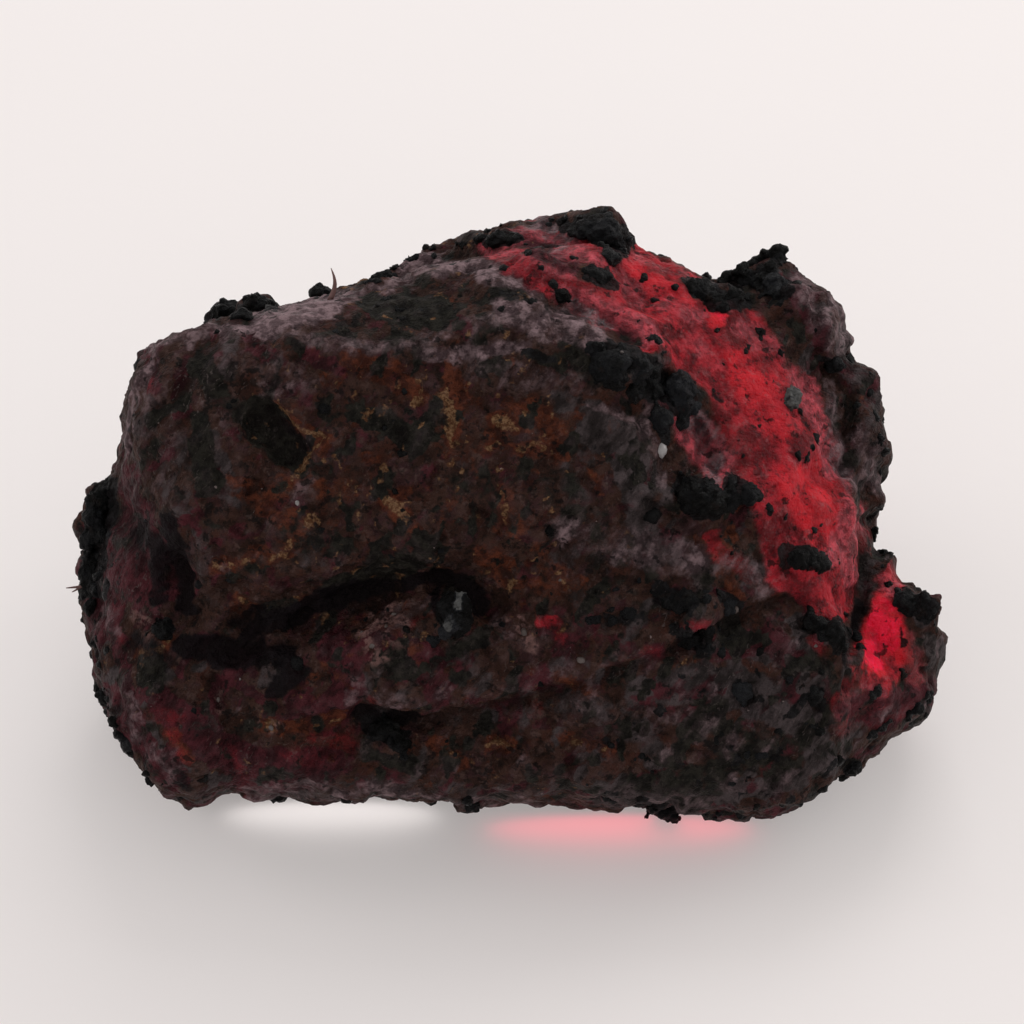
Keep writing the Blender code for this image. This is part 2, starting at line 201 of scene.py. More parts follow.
# ------------------------------------------------------------------ what grows where
# Each growth, and each painted glow, highlight and shade, is laid on in strokes: places of the path, half width,
# strength.
LAYERS = {
    # red windows, where the crystal is clean enough to let light through
    "red": [
        ([(606, 262), (646, 296), (690, 336), (734, 376), (768, 424), (794, 480), (812, 530), (822, 580), (828, 612)],
         [26, 40, 46, 44, 46, 46, 44, 38, 20], 1.0),
        ([(720, 312), (744, 330), (798, 392), (828, 470), (850, 530), (854, 584)], [18, 24, 24, 24, 24, 20], 0.74),
        ([(894, 588), (886, 620), (884, 650), (878, 682)], [20, 28, 29, 22], 1.0),
        ([(862, 688), (840, 704)], 20, 0.42),
        ([(872, 700), (846, 712)], 22, 0.24),
        ([(908, 640), (916, 672)], 20, 0.46),
        ([(484, 246), (490, 254)], 13, 0.66),
        ([(514, 262), (560, 284), (606, 312)], [18, 26, 30], 0.70),
        ([(510, 240), (540, 232), (580, 250)], [16, 20, 20], 0.64),
        ([(604, 316), (650, 330), (692, 360)], [18, 18, 16], 0.70),
        ([(688, 420), (704, 444), (718, 474)], [20, 30, 22], 0.84),
        ([(764, 500), (776, 540), (790, 580)], [18, 26, 24], 1.0),
        ([(900, 706), (872, 716), (846, 726)], [18, 22, 18], 0.34),
        ([(486, 246), (500, 258)], 14, 0.75),
        ([(640, 252), (670, 266), (700, 282)], [14, 16, 12], 0.9),
        ([(712, 536), (724, 560)], 14, 0.62),
        ([(716, 396), (736, 440), (756, 500)], [14, 18, 18], 0.66),
        ([(712, 308), (718, 320)], 12, 1.0),
        ([(648, 344), (660, 340)], 10, 1.0),
        ([(716, 546), (740, 566), (776, 590)], [12, 14, 16], 0.40),
        ([(694, 620), (710, 630)], 12, 0.42),
        ([(640, 654), (660, 656)], 11, 0.34),
        ([(541, 619), (558, 622)], 8, 0.82),
        ([(558, 634), (566, 640)], 8, 0.50),
        ([(318, 740), (350, 738)], [16, 20], 0.36),
        ([(290, 752), (320, 760)], 18, 0.30),
        ([(160, 712), (182, 718)], 12, 0.36),
        ([(172, 736), (186, 756)], 12, 0.44),
        ([(233, 750), (240, 772), (247, 792)], 8, 0.38),
        ([(312, 736), (332, 744), (352, 742)], [12, 15, 10], 0.46),
        ([(150, 716), (168, 724)], 12, 0.30),
        ([(118, 600), (122, 640)], 9, 0.26),
        ([(412, 618), (420, 618)], 7, 0.50),
        ([(366, 702), (374, 704)], 7, 0.36),
        ([(530, 706), (542, 706)], 10, 0.30),
        ([(148, 376), (152, 392)], 9, 0.30),
        ([(812, 640), (824, 646)], 11, 0.45),
        ([(804, 592), (824, 612), (846, 600)], 18, 0.80),
    ],
    # painted glow: the windows brightest with light coming through them, painted into the colour
    "painted_glow": [
        ([(710, 314), (720, 320)], 11, 1.0),
        ([(648, 346), (660, 340)], 8, 0.5),
        ([(738, 356), (756, 388), (778, 430)], [20, 30, 22], 0.66),
        ([(790, 480), (812, 506), (832, 536)], [26, 36, 28], 0.80),
        ([(818, 470), (840, 500), (848, 540)], [14, 18, 16], 0.5),
        ([(632, 268), (676, 296)], [16, 24], 0.60),
        ([(884, 606), (882, 636), (875, 664)], [19, 26, 19], 1.3),
        ([(898, 626), (902, 650)], 16, 1.0),
        ([(884, 584), (902, 592)], 9, 0.9),
        ([(596, 298), (608, 302)], 9, 0.6),
        ([(806, 590), (820, 604)], 10, 0.3),
    ],
    # pink mist over the red
    "haze": [
        ([(486, 250), (526, 240), (566, 256), (590, 268)], [16, 26, 28, 18], 1.0),
        ([(560, 296), (604, 314), (650, 332)], [20, 26, 20], 0.95),
        ([(672, 300), (696, 318)], 16, 0.6),
        ([(690, 344), (716, 366)], 16, 0.5),
        ([(600, 270), (640, 292)], 16, 0.55),
        ([(826, 560), (850, 530), (858, 500), (846, 470)], [16, 20, 18, 14], 0.8),
        ([(742, 330), (790, 352), (812, 390)], [14, 16, 14], 0.7),
        ([(690, 418), (704, 450), (724, 478)], [26, 32, 22], 1.0),
        ([(800, 384), (824, 424), (836, 470)], 16, 0.95),
        ([(746, 540), (766, 574)], 14, 0.6),
        ([(846, 510), (854, 580)], 14, 1.0),
        ([(872, 702), (846, 716)], 24, 0.9),
        ([(922, 640), (926, 676), (906, 700)], 20, 0.9),
        ([(756, 566), (776, 590)], 14, 0.5),
        ([(630, 256), (660, 272)], 9, 0.5),
        ([(880, 584), (904, 594)], 14, 1.0),
    ],
    # mauve bloom on ridges and lobes, and painted highlights on the ridges, lobe edges and tops that face the light
    "bloom_and_highlight": [
        ([(150, 342), (190, 338), (236, 334), (270, 326), (300, 319), (340, 304), (376, 290), (420, 268), (464, 264), (512, 284)],
         [9, 11, 12, 13, 14, 13, 11, 12, 13, 12], 0.85),
        # painted highlight: the brightest streak along the top ridge
        ([(262, 330), (300, 319), (342, 304)], [7, 11, 8], 1.15),
        ([(288, 336), (340, 346), (390, 347), (450, 334), (500, 314), (540, 312), (576, 328), (602, 346)],
         [10, 12, 12, 12, 16, 22, 20, 14], 0.56),
        ([(500, 306), (540, 320), (576, 330), (598, 338)], [18, 27, 24, 14], 0.82),
        ([(210, 366), (260, 374), (310, 382)], 20, 0.42),
        ([(466, 374), (540, 382), (596, 378)], 20, 0.45),
        ([(248, 404), (300, 440), (304, 500)], 16, 0.42),
        ([(712, 566), (744, 580), (766, 592)], 16, 0.50),
        ([(616, 652), (680, 690)], 18, 0.34),
        ([(690, 716), (736, 744)], 22, 0.58),
        ([(146, 404), (170, 440)], 18, 0.34),
        ([(316, 610), (430, 606)], 12, 0.30),
        ([(878, 720), (902, 708)], 14, 0.50),
        ([(576, 306), (606, 322)], 10, 0.9),
        ([(400, 356), (452, 352), (500, 344)], [9, 12, 10], 0.50),
        ([(404, 258), (450, 264), (492, 276)], 10, 1.0),
        ([(492, 278), (524, 290), (560, 312)], 8, 0.7),
        ([(540, 222), (566, 236)], 12, 1.0),
        # painted highlight: the top ridge where it catches the light
        ([(244, 334), (290, 318), (338, 302)], [13, 21, 14], 1.45),
        ([(424, 354), (470, 354), (520, 346)], [10, 14, 11], 0.92),
        ([(560, 532), (630, 548), (700, 560)], [24, 32, 26], 0.68),
        ([(796, 296), (820, 330)], [20, 18], 0.40),
        ([(250, 792), (330, 790), (420, 796)], 12, 0.62),
        ([(640, 712), (700, 724)], 16, 0.50),
        ([(496, 620), (530, 640)], 12, 0.40),
        ([(726, 560), (766, 572)], 14, 0.55),
        ([(560, 716), (640, 728), (740, 724)], [16, 22, 22], 0.26),
        ([(620, 792), (700, 800), (790, 780)], [12, 12, 10], 0.45),
        ([(270, 352), (290, 372)], 12, 0.42),
        ([(536, 226), (560, 240)], 16, 0.7),
        ([(596, 408), (638, 420), (656, 450), (660, 484)], [9, 9, 8, 8], 0.65),
        ([(688, 412), (706, 440), (712, 472)], [16, 24, 18], 0.72),
        ([(796, 284), (820, 304), (838, 338)], [22, 30, 26], 0.62),
        ([(816, 280), (838, 300), (848, 334)], 10, 0.66),
        ([(828, 388), (832, 430), (840, 468), (852, 488)], 12, 0.74),
        ([(860, 440), (870, 482)], [18, 16], 0.66),
        ([(686, 414), (700, 440)], 20, 0.40),
        ([(152, 350), (134, 400), (122, 450)], 8, 0.85),
        ([(250, 350), (222, 392), (172, 448), (132, 520)], [9, 9, 8, 7], 0.36),
        ([(180, 350), (152, 420), (130, 470)], 6, 0.32),
        ([(226, 410), (226, 440), (190, 490)], 7, 0.28),
        ([(214, 500), (198, 560), (192, 620)], [8, 9, 7], 0.16),
        ([(380, 630), (404, 620)], 11, 0.40),
        ([(344, 698), (400, 703), (450, 694)], 11, 0.50),
        ([(430, 660), (446, 690)], 10, 0.35),
        ([(236, 799), (340, 794), (430, 802), (540, 804)], 6, 0.55),
        ([(700, 650), (760, 660), (806, 652)], 18, 0.34),
        ([(742, 720), (690, 772)], 18, 0.26),
        ([(470, 690), (540, 676), (580, 668)], 12, 0.35),
        ([(112, 612), (120, 630)], 11, 0.50),
        ([(128, 690), (142, 740), (170, 780)], 8, 0.55),
        ([(520, 640), (560, 660)], 12, 0.25),
        ([(640, 520), (700, 548)], 20, 0.30),
    ],
    # dark grey-green velvet
    "moss": [
        ([(198, 356), (214, 384)], 17, 0.95),
        ([(190, 398), (150, 424)], 11, 0.85),
        ([(200, 426), (206, 484)], [18, 20], 1.0),
        ([(252, 414), (274, 436), (296, 462)], [22, 34, 20], 0.86),
        ([(256, 404), (288, 410)], 14, 0.9),
        ([(160, 440), (144, 462)], 11, 0.55),
        ([(322, 404), (326, 410)], 9, 0.95),
        ([(354, 420), (384, 424), (412, 446)], [9, 18, 17], 1.0),
        ([(370, 300), (404, 311), (442, 312)], [16, 22, 22], 1.25),
        ([(446, 322), (466, 330)], 9, 0.6),
        ([(496, 292), (520, 297)], 10, 0.95),
        ([(532, 354), (556, 366)], 11, 1.0),
        ([(470, 336), (486, 342)], 8, 0.8),
        ([(340, 330), (356, 334)], 8, 0.8),
        ([(288, 344), (300, 350)], 8, 0.8),
        ([(424, 556), (372, 578), (330, 598)], [18, 24, 18], 0.90),
        ([(290, 604), (262, 616)], 13, 0.70),
        ([(540, 490), (570, 510)], 20, 0.45),
        ([(480, 470), (470, 500)], 11, 0.45),
        ([(650, 782), (700, 782), (760, 752)], [20, 26, 28], 0.70),
        ([(700, 706), (750, 690)], 14, 0.45),
        ([(152, 660), (156, 684)], 18, 0.95),
        ([(396, 762), (412, 768)], 13, 0.90),
        ([(370, 752), (388, 764)], 13, 0.80),
        ([(576, 790), (604, 794)], 10, 0.60),
        ([(612, 682), (634, 688)], 10, 0.60),
        ([(606, 728), (620, 732)], 8, 0.50),
        ([(660, 756), (680, 766)], 9, 0.75),
        ([(746, 344), (754, 350)], 7, 0.80),
        ([(206, 706), (214, 726)], 9, 0.60),
        ([(290, 740), (300, 748)], 9, 0.50),
        ([(616, 584), (640, 604)], 16, 0.45),
        ([(736, 556), (748, 552)], 9, 0.60),
        ([(848, 400), (856, 420)], 9, 0.65),
        ([(820, 740), (846, 750)], 14, 0.60),
        ([(466, 640), (452, 652)], 9, 0.60),
        ([(604, 356), (640, 372), (664, 390)], [16, 22, 16], 0.9),
        ([(700, 734), (750, 742), (800, 752)], [18, 30, 28], 0.55),
        ([(450, 480), (492, 500)], 16, 0.50),
        ([(816, 664), (846, 690)], 22, 0.62),
        ([(104, 480), (120, 540)], 16, 0.45),
        ([(276, 536), (350, 548)], 20, 0.50),
        ([(336, 330), (420, 338)], 12, 0.50),
        ([(560, 480), (600, 520), (600, 560)], [22, 26, 20], 0.45),
        ([(560, 352), (600, 384)], 14, 0.5),
    ],
    # black-purple shade in the clefts
    "shade": [
        ([(240, 634), (280, 620), (330, 601), (380, 588), (430, 578), (470, 584)], [9, 13, 15, 12, 9, 8], 1.0),
        ([(190, 648), (236, 654), (282, 652)], [17, 23, 17], 1.1),
        ([(168, 520), (176, 566), (184, 606)], [12, 16, 12], 1.0),
        ([(134, 530), (156, 556), (160, 600)], [16, 18, 12], 0.72),
        ([(270, 650), (296, 672), (276, 692)], [16, 18, 14], 0.84),
        ([(136, 640), (170, 664)], 14, 0.60),
        ([(468, 584), (481, 594), (482, 610)], [8, 9, 8], 0.85),
        ([(440, 586), (436, 606)], 8, 0.80),
        ([(360, 716), (388, 724), (420, 716)], [9, 13, 8], 0.90),
        ([(864, 600), (854, 634), (854, 662)], [6, 8, 6], 0.85),
        ([(686, 640), (698, 642)], 12, 0.85),
        ([(660, 596), (680, 592)], 12, 0.80),
        ([(628, 620), (634, 646)], 9, 0.34),
        ([(734, 690), (748, 700)], 11, 0.60),
        ([(812, 690), (816, 706)], 9, 0.80),
        ([(560, 294), (568, 298)], 8, 0.90),
        ([(100, 640), (112, 700), (128, 746)], 7, 0.50),
        ([(558, 262), (548, 268)], 8, 0.45),
        ([(286, 420), (308, 452)], 9, 0.60),
        ([(230, 620), (262, 612)], 8, 0.70),
        ([(180, 778), (190, 784)], 8, 0.60),
        ([(874, 500), (884, 540), (884, 566)], 6, 0.90),
        ([(714, 394), (718, 400)], 6, 0.8),
    ],
    # crimson and maroon
    "maroon": [
        ([(446, 316), (468, 330)], 12, 1.0),
        ([(510, 262), (550, 274)], 14, 0.9),
        ([(598, 312), (628, 334)], 12, 0.8),
        ([(146, 346), (152, 388)], 11, 0.80),
        ([(186, 352), (176, 400)], 9, 0.65),
        ([(132, 470), (126, 520), (128, 590)], [11, 15, 17], 0.90),
        ([(118, 610), (122, 650), (130, 684)], 11, 0.95),
        ([(334, 640), (346, 690), (322, 712)], [24, 26, 20], 1.0),
        ([(380, 640), (430, 660), (436, 690)], 24, 0.82),
        ([(292, 704), (330, 722)], 18, 0.75),
        ([(150, 690), (190, 730), (250, 768), (330, 766)], [20, 32, 28, 22], 0.90),
        ([(690, 628), (720, 650), (764, 640), (794, 662)], [16, 20, 22, 16], 0.75),
        ([(640, 650), (662, 656)], 15, 0.65),
        ([(632, 700), (650, 706)], 13, 0.50),
        ([(660, 772), (676, 776)], 10, 0.40),
        ([(880, 704), (932, 690)], 22, 0.80),
        ([(800, 592), (820, 640)], 13, 0.75),
        ([(546, 628), (572, 644)], 13, 0.65),
        ([(612, 640), (656, 662)], 15, 0.60),
        ([(472, 700), (546, 726)], 15, 0.50),
        ([(580, 690), (600, 694)], 15, 0.50),
        ([(650, 524), (684, 556)], 15, 0.50),
        ([(312, 352), (340, 368)], 12, 0.75),
        ([(440, 312), (454, 322)], 10, 0.65),
        ([(494, 262), (540, 286)], 15, 0.65),
        ([(520, 236), (566, 262)], 16, 0.75),
        ([(600, 320), (630, 336)], 14, 0.60),
        ([(690, 410), (700, 450)], 18, 0.50),
        ([(792, 286), (816, 316), (824, 340)], [18, 20, 14], 0.8),
        ([(240, 784), (320, 782)], 14, 0.8),
        ([(724, 480), (744, 530)], 14, 0.60),
        ([(410, 360), (430, 372)], 12, 0.35),
        ([(240, 330), (262, 346)], 9, 0.45),
        ([(842, 366), (866, 400)], 12, 0.50),
        ([(212, 640), (218, 700)], 10, 0.40),
        ([(392, 586), (420, 596)], 6, 0.55),
        ([(112, 520), (112, 580), (104, 640)], [12, 16, 12], 0.85),
        ([(140, 500), (150, 560), (150, 620)], [16, 20, 18], 0.75),
        ([(252, 346), (280, 360)], 12, 0.60),
        ([(116, 690), (140, 740), (172, 784)], [12, 18, 16], 0.80),
        ([(668, 404), (710, 440), (722, 470)], [16, 24, 16], 0.50),
        ([(836, 700), (880, 716), (916, 700)], [20, 24, 18], 0.95),
        ([(560, 610), (590, 622)], 14, 0.5),
        ([(310, 640), (300, 680)], 14, 0.5),
    ],
    # rust
    "rust": [
        ([(452, 362), (458, 380), (460, 404)], 9, 1.0),
        ([(534, 412), (545, 450)], 20, 0.62),
        ([(364, 366), (402, 386)], 16, 0.72),
        ([(326, 374), (336, 380)], 9, 0.50),
        ([(281, 398), (304, 420), (322, 452)], 7, 1.0),
        ([(238, 490), (262, 508)], 13, 0.65),
        ([(294, 526), (250, 562)], 14, 0.42),
        ([(232, 602), (242, 608)], 8, 0.80),
        ([(484, 548), (512, 566)], 12, 0.72),
        ([(546, 560), (576, 586)], 15, 0.65),
        ([(386, 628), (414, 650)], 12, 0.62),
        ([(434, 740), (464, 762)], 13, 0.90),
        ([(560, 740), (616, 750)], 11, 0.75),
        ([(562, 680), (594, 700)], 14, 0.62),
        ([(594, 474), (602, 492)], 8, 0.75),
        ([(732, 532), (726, 556)], 8, 1.0),
        ([(172, 736), (186, 754)], 12, 0.80),
        ([(276, 722), (294, 728)], 8, 0.80),
        ([(318, 668), (346, 684)], 12, 0.55),
        ([(402, 494), (414, 524)], 12, 0.80),
        ([(430, 440), (500, 470), (560, 540)], [26, 30, 30], 0.30),
        ([(600, 500), (640, 560)], 22, 0.30),
        ([(700, 540), (724, 560), (736, 600)], 12, 0.7),
        ([(700, 556), (716, 590)], 9, 0.50),
        ([(300, 480), (340, 500)], 18, 0.50),
        ([(700, 386), (742, 350)], 6, 0.30),
        ([(848, 380), (866, 420)], 10, 0.45),
        ([(352, 360), (392, 372), (420, 398)], [16, 18, 14], 0.85),
        ([(230, 484), (272, 500), (300, 540)], [14, 20, 20], 0.75),
        ([(524, 410), (552, 430), (556, 456)], [18, 22, 18], 0.80),
        ([(402, 488), (412, 530)], 13, 0.85),
        ([(456, 356), (454, 380), (456, 410)], [10, 12, 12], 1.0),
        ([(480, 560), (520, 580), (560, 590)], [14, 16, 14], 0.62),
    ],
    # ochre crumbs
    "ochre": [
        ([(446, 400), (452, 436)], 8, 1.0),
        ([(500, 418), (514, 426)], 8, 1.0),
        ([(484, 450), (504, 446)], 5, 0.9),
        ([(522, 452), (536, 446)], 5, 0.8),
        ([(386, 496), (400, 504), (408, 516)], 9, 1.0),
        ([(504, 494), (508, 522)], 6, 0.85),
        ([(286, 402), (300, 424), (318, 442), (326, 440)], 4, 1.0),
        ([(318, 446), (300, 472), (288, 480)], 4, 0.90),
        ([(216, 570), (236, 566), (248, 558)], 5, 1.0),
        ([(270, 562), (290, 550)], 5, 0.80),
        ([(236, 602), (242, 606)], 4, 1.0),
        ([(556, 576), (566, 586)], 5, 0.65),
        ([(450, 750), (456, 752)], 5, 0.7),
        ([(492, 746), (506, 748)], 7, 0.85),
        ([(572, 744), (580, 746)], 6, 0.75),
        ([(608, 748), (614, 750)], 4, 0.65),
        ([(306, 726), (324, 720), (341, 718)], 3, 1.0),
        ([(268, 722), (274, 732)], 5, 0.90),
        ([(735, 487), (737, 506)], 4, 1.0),
        ([(145, 654), (160, 656), (172, 644)], 4, 0.90),
        ([(590, 474), (600, 480)], 4, 0.6),
        ([(530, 560), (536, 570)], 4, 0.5),
        ([(432, 470), (440, 480)], 4, 0.5),
        ([(556, 420), (560, 430)], 4, 0.45),
        ([(626, 530), (630, 545)], 5, 0.4),
        ([(478, 516), (486, 530)], 5, 0.45),
        ([(344, 470), (352, 480)], 5, 0.5),
        ([(252, 498), (262, 502)], 4, 0.6),
        ([(676, 668), (700, 650)], 3, 0.5),
    ],
    # plain grey
    "grey": [
        ([(588, 430), (620, 440), (640, 472), (640, 520)], [20, 28, 27, 24], 0.95),
        ([(560, 398), (600, 412)], 17, 0.65),
        ([(240, 334), (226, 372)], [16, 16], 0.60),
        ([(216, 440), (236, 500)], 14, 0.60),
        ([(640, 692), (700, 680), (760, 696), (806, 726), (826, 764)], [22, 28, 32, 30, 18], 0.90),
        ([(600, 792), (680, 802), (760, 792), (800, 776)], 15, 0.85),
        ([(560, 470), (596, 516)], 18, 0.50),
        ([(902, 598), (924, 614)], 17, 1.0),
        ([(932, 640), (936, 666)], 11, 0.60),
        ([(640, 548), (700, 556)], [28, 22], 0.60),
        ([(300, 560), (340, 556)], 18, 0.40),
        ([(380, 790), (520, 796)], 10, 0.50),
        ([(580, 620), (620, 640)], 16, 0.45),
        ([(440, 630), (470, 660), (480, 680)], 11, 0.50),
        ([(340, 340), (400, 350), (430, 344)], 10, 0.50),
        ([(790, 290), (830, 330)], 18, 0.50),
        ([(858, 380), (872, 430), (870, 480)], 13, 0.50),
        ([(560, 700), (620, 720), (660, 760)], [22, 26, 24], 0.55),
        ([(440, 712), (520, 720)], 18, 0.45),
        ([(270, 790), (420, 786), (560, 792)], 12, 0.5),
        ([(180, 440), (200, 520), (210, 600)], [14, 16, 14], 0.45),
    ],
    # black crust of tightly grown grains
    "crust": [
        ([(568, 226), (602, 226), (622, 240), (614, 258)], [12, 22, 20, 14], 1.0),
        ([(592, 270), (610, 284)], 12, 0.95),
        ([(486, 242), (518, 238)], 9, 0.9),
        ([(560, 292), (570, 300)], 9, 0.9),
        ([(498, 294), (526, 298)], 9, 0.6),
        ([(524, 354), (552, 362)], 10, 0.6),
        ([(606, 354), (640, 366), (654, 386)], [17, 24, 22], 1.0),
        ([(660, 380), (682, 396), (682, 412)], [14, 18, 12], 1.0),
        ([(658, 420), (664, 436)], 11, 0.9),
        ([(684, 488), (700, 504), (722, 508)], [18, 20, 12], 1.0),
        ([(732, 478), (752, 500)], 11, 0.9),
        ([(688, 284), (716, 300), (740, 304)], [12, 14, 14], 1.0),
        ([(736, 288), (766, 268), (786, 252)], [13, 13, 8], 1.0),
        ([(764, 284), (784, 292)], [13, 13], 0.95),
        ([(826, 364), (840, 368)], 9, 0.9),
        ([(106, 486), (98, 530), (96, 590)], [17, 20, 16], 1.0),
        ([(160, 626), (168, 636)], 11, 1.0),
        ([(374, 726), (402, 742)], [16, 16], 1.0),
        ([(790, 556), (824, 564)], [14, 11], 1.0),
        ([(812, 622), (838, 628), (844, 648)], [14, 14, 9], 1.0),
        ([(660, 590), (690, 602)], [13, 13], 0.95),
        ([(680, 630), (706, 644)], [12, 12], 0.90),
        ([(722, 598), (736, 608)], 10, 0.9),
        ([(606, 618), (640, 614)], 9, 0.6),
        ([(908, 600), (928, 612)], [15, 17], 1.0),
        ([(900, 632), (904, 640)], 7, 0.6),
        ([(736, 686), (748, 700)], 11, 0.65),
        ([(812, 690), (818, 704)], 9, 0.8),
        ([(880, 506), (884, 560)], 8, 1.0),
        ([(206, 318), (270, 308)], 9, 0.8),
        ([(316, 294), (330, 290)], 7, 0.8),
        ([(840, 762), (858, 770)], 8, 0.7),
        ([(640, 806), (680, 814)], 8, 0.8),
        ([(640, 760), (800, 740)], 26, 0.20),
        ([(448, 596), (456, 614)], 11, 0.40),
    ],
    # pale pinkish granules
    "pale": [
        ([(362, 640), (370, 624), (392, 614), (404, 620)], [9, 12, 11, 8], 1.1),
        ([(366, 650), (380, 658)], 10, 1.0),
        ([(388, 636), (398, 644)], 9, 0.8),
        ([(510, 614), (522, 628), (534, 644)], [9, 11, 8], 1.25),
        ([(140, 616), (150, 630)], 9, 0.7),
        ([(264, 722), (274, 728)], 6, 0.8),
        ([(216, 690), (220, 706)], 6, 0.6),
    ],
    # silky, streaked skin
    "silk": [
        ([(240, 350), (170, 430), (130, 560), (130, 680)], [60, 60, 50, 40], 1.0),
        ([(640, 640), (740, 690), (800, 720)], [60, 70, 50], 1.0),
        ([(440, 690), (560, 660)], 34, 0.6),
        ([(200, 740), (300, 760)], 40, 0.6),
        ([(640, 480), (700, 460)], 44, 0.6),
        ([(830, 320), (866, 450)], 24, 0.5),
    ],
}
# Hollows and grooves pressed in: points, half width (units), depth mm
PRESSED = [
    ([(258, 422), (274, 436), (290, 452)], [30, 38, 28], 0.26),
    ([(128, 520), (176, 566), (196, 618)], 24, 0.16),
    ([(300, 622), (340, 606), (400, 584), (444, 580)], [14, 20, 20, 12], 0.22),
    ([(200, 650), (226, 650), (256, 644)], [20, 24, 16], 0.30),
    ([(360, 712), (420, 722), (500, 708), (600, 680), (700, 640)], 12, 0.18),
    ([(700, 640), (760, 606), (800, 600)], 11, 0.14),
    ([(212, 680), (230, 730), (228, 764)], 11, 0.10),
    ([(300, 358), (380, 376), (440, 366)], 12, 0.10),
    ([(604, 318), (650, 350), (700, 420), (716, 470)], 10, 0.12),
    ([(816, 300), (822, 366), (850, 392), (846, 470)], 9, 0.16),
    ([(862, 520), (866, 580), (858, 628), (850, 690)], 9, 0.24),
    ([(462, 580), (478, 592), (478, 608)], 14, 0.07),
    ([(640, 500), (672, 516), (690, 530)], 10, 0.12),
    ([(384, 424), (404, 436)], 17, 0.14),
    ([(160, 400), (150, 460)], 10, 0.10),
    ([(540, 612), (556, 630)], 9, 0.12),
]
# The outline let out or drawn in: points, half width (units), mm
SWELLED = [
    ([(192, 808), (250, 808)], 16, 0.24), ([(138, 778), (156, 798)], 11, -0.16), ([(490, 808), (560, 812), (650, 814)], 14, 0.08),
    ([(376, 806), (412, 812), (444, 810)], 15, -0.20),
    ([(852, 342), (864, 364), (872, 376)], 14, 0.28), ([(890, 380), (892, 404)], 13, -0.17), ([(880, 430), (884, 458)], 12, 0.06), ([(874, 500), (886, 540), (884, 574)], 16, 0.36),
    ([(84, 590), (98, 640), (118, 740)], 12, 0.18), ([(636, 246), (664, 256)], 12, -0.10), ([(684, 806), (704, 816)], 12, 0.22), ([(730, 822), (750, 822)], 12, -0.12), ([(124, 356), (120, 400), (116, 456)], 14, -0.14),
    ([(870, 766), (820, 812), (760, 826)], 18, -0.24), ([(370, 268), (430, 250), (474, 240)], 13, 0.26),
    ([(486, 224), (530, 214)], 12, -0.14), ([(906, 576), (944, 606), (948, 622)], 16, -0.32), ([(850, 300), (852, 344)], 12, -0.18),
    ([(130, 344), (200, 324)], 10, -0.14), ([(130, 356), (128, 370)], 9, -0.16),
]
# Rims raised: points, half width (units), height mm
RAISED = [
    ([(268, 392), (292, 404), (308, 436), (322, 462)], 9, 0.16),
    ([(150, 340), (228, 330), (300, 316), (372, 292)], 15, 0.10),
    ([(290, 334), (380, 350), (450, 338), (520, 304)], 14, 0.12),
    ([(262, 716), (300, 712), (352, 700)], 7, 0.10),
    ([(200, 620), (240, 640), (300, 640)], 8, 0.08),
]


# ------------------------------------------------------------------ mesh helpers
def new_object(name, verts, faces, smooth_shade=True):
    mesh = bpy.data.meshes.new(name)
    mesh.from_pydata(verts, [], faces)
    mesh.update()
    obj = bpy.data.objects.new(name, mesh)
    bpy.context.scene.collection.objects.link(obj)
    if smooth_shade:
        mesh.shade_smooth()
    return obj


def coordinates(mesh):
    co = np.empty(len(mesh.vertices) * 3, np.float32)
    mesh.vertices.foreach_get("co", co)
    return co.reshape(-1, 3).astype(np.float64)


def set_coordinates(mesh, co):
    mesh.vertices.foreach_set("co", co.astype(np.float32).ravel())
    mesh.update()


def vertex_normals(mesh):
    n = np.empty(len(mesh.vertices) * 3, np.float32)
    mesh.vertex_normals.foreach_get("vector", n)
    return n.reshape(-1, 3).astype(np.float64)


def edge_pairs(mesh):
    e = np.empty(len(mesh.edges) * 2, np.int32)
    mesh.edges.foreach_get("vertices", e)
    return e.reshape(-1, 2)


def averaged(values, edges, times=1, share=0.5):
    """Each vertex value drawn towards the mean of its neighbours."""
    values = values.copy()
    count = np.bincount(edges.ravel(), minlength=len(values)).astype(float)
    count = np.maximum(count, 1)
    for _ in range(times):
        if values.ndim == 1:
            total = np.zeros(len(values))
            np.add.at(total, edges[:, 0], values[edges[:, 1]])
            np.add.at(total, edges[:, 1], values[edges[:, 0]])
            mean = total / count
        else:
            total = np.zeros_like(values)
            np.add.at(total, edges[:, 0], values[edges[:, 1]])
            np.add.at(total, edges[:, 1], values[edges[:, 0]])
            mean = total / count[:, None]
        values += (mean - values) * share
    return values


def attribute(mesh, name, values):
    made = mesh.attributes.new(name, "FLOAT", "POINT")
    made.data.foreach_set("value", np.asarray(values, np.float32))


# ------------------------------------------------------------------ the skin
def start_skin():
    """A fine, evenly gridded copy of the CAD solid, in millimetres."""
    bm = bmesh.new()
    bm.from_mesh(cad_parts["ruby_crystal"].data)
    bmesh.ops.scale(bm, verts=bm.verts, vec=(1 / MM,) * 3)
    bmesh.ops.remove_doubles(bm, verts=bm.verts, dist=1e-4)
    mesh = bpy.data.meshes.new("ruby_skin")
    bm.to_mesh(mesh)
    bm.free()
    obj = bpy.data.objects.new("ruby_skin", mesh)
    bpy.context.scene.collection.objects.link(obj)
    remesh = obj.modifiers.new("grid", "REMESH")
    remesh.mode = "VOXEL"
    remesh.voxel_size = VOXEL
    graph = bpy.context.evaluated_depsgraph_get()
    fine = bpy.data.meshes.new_from_object(obj.evaluated_get(graph))
    obj.modifiers.clear()
    obj.data = fine
    fine.name = "ruby_skin"
    bpy.data.meshes.remove(mesh)
    return obj


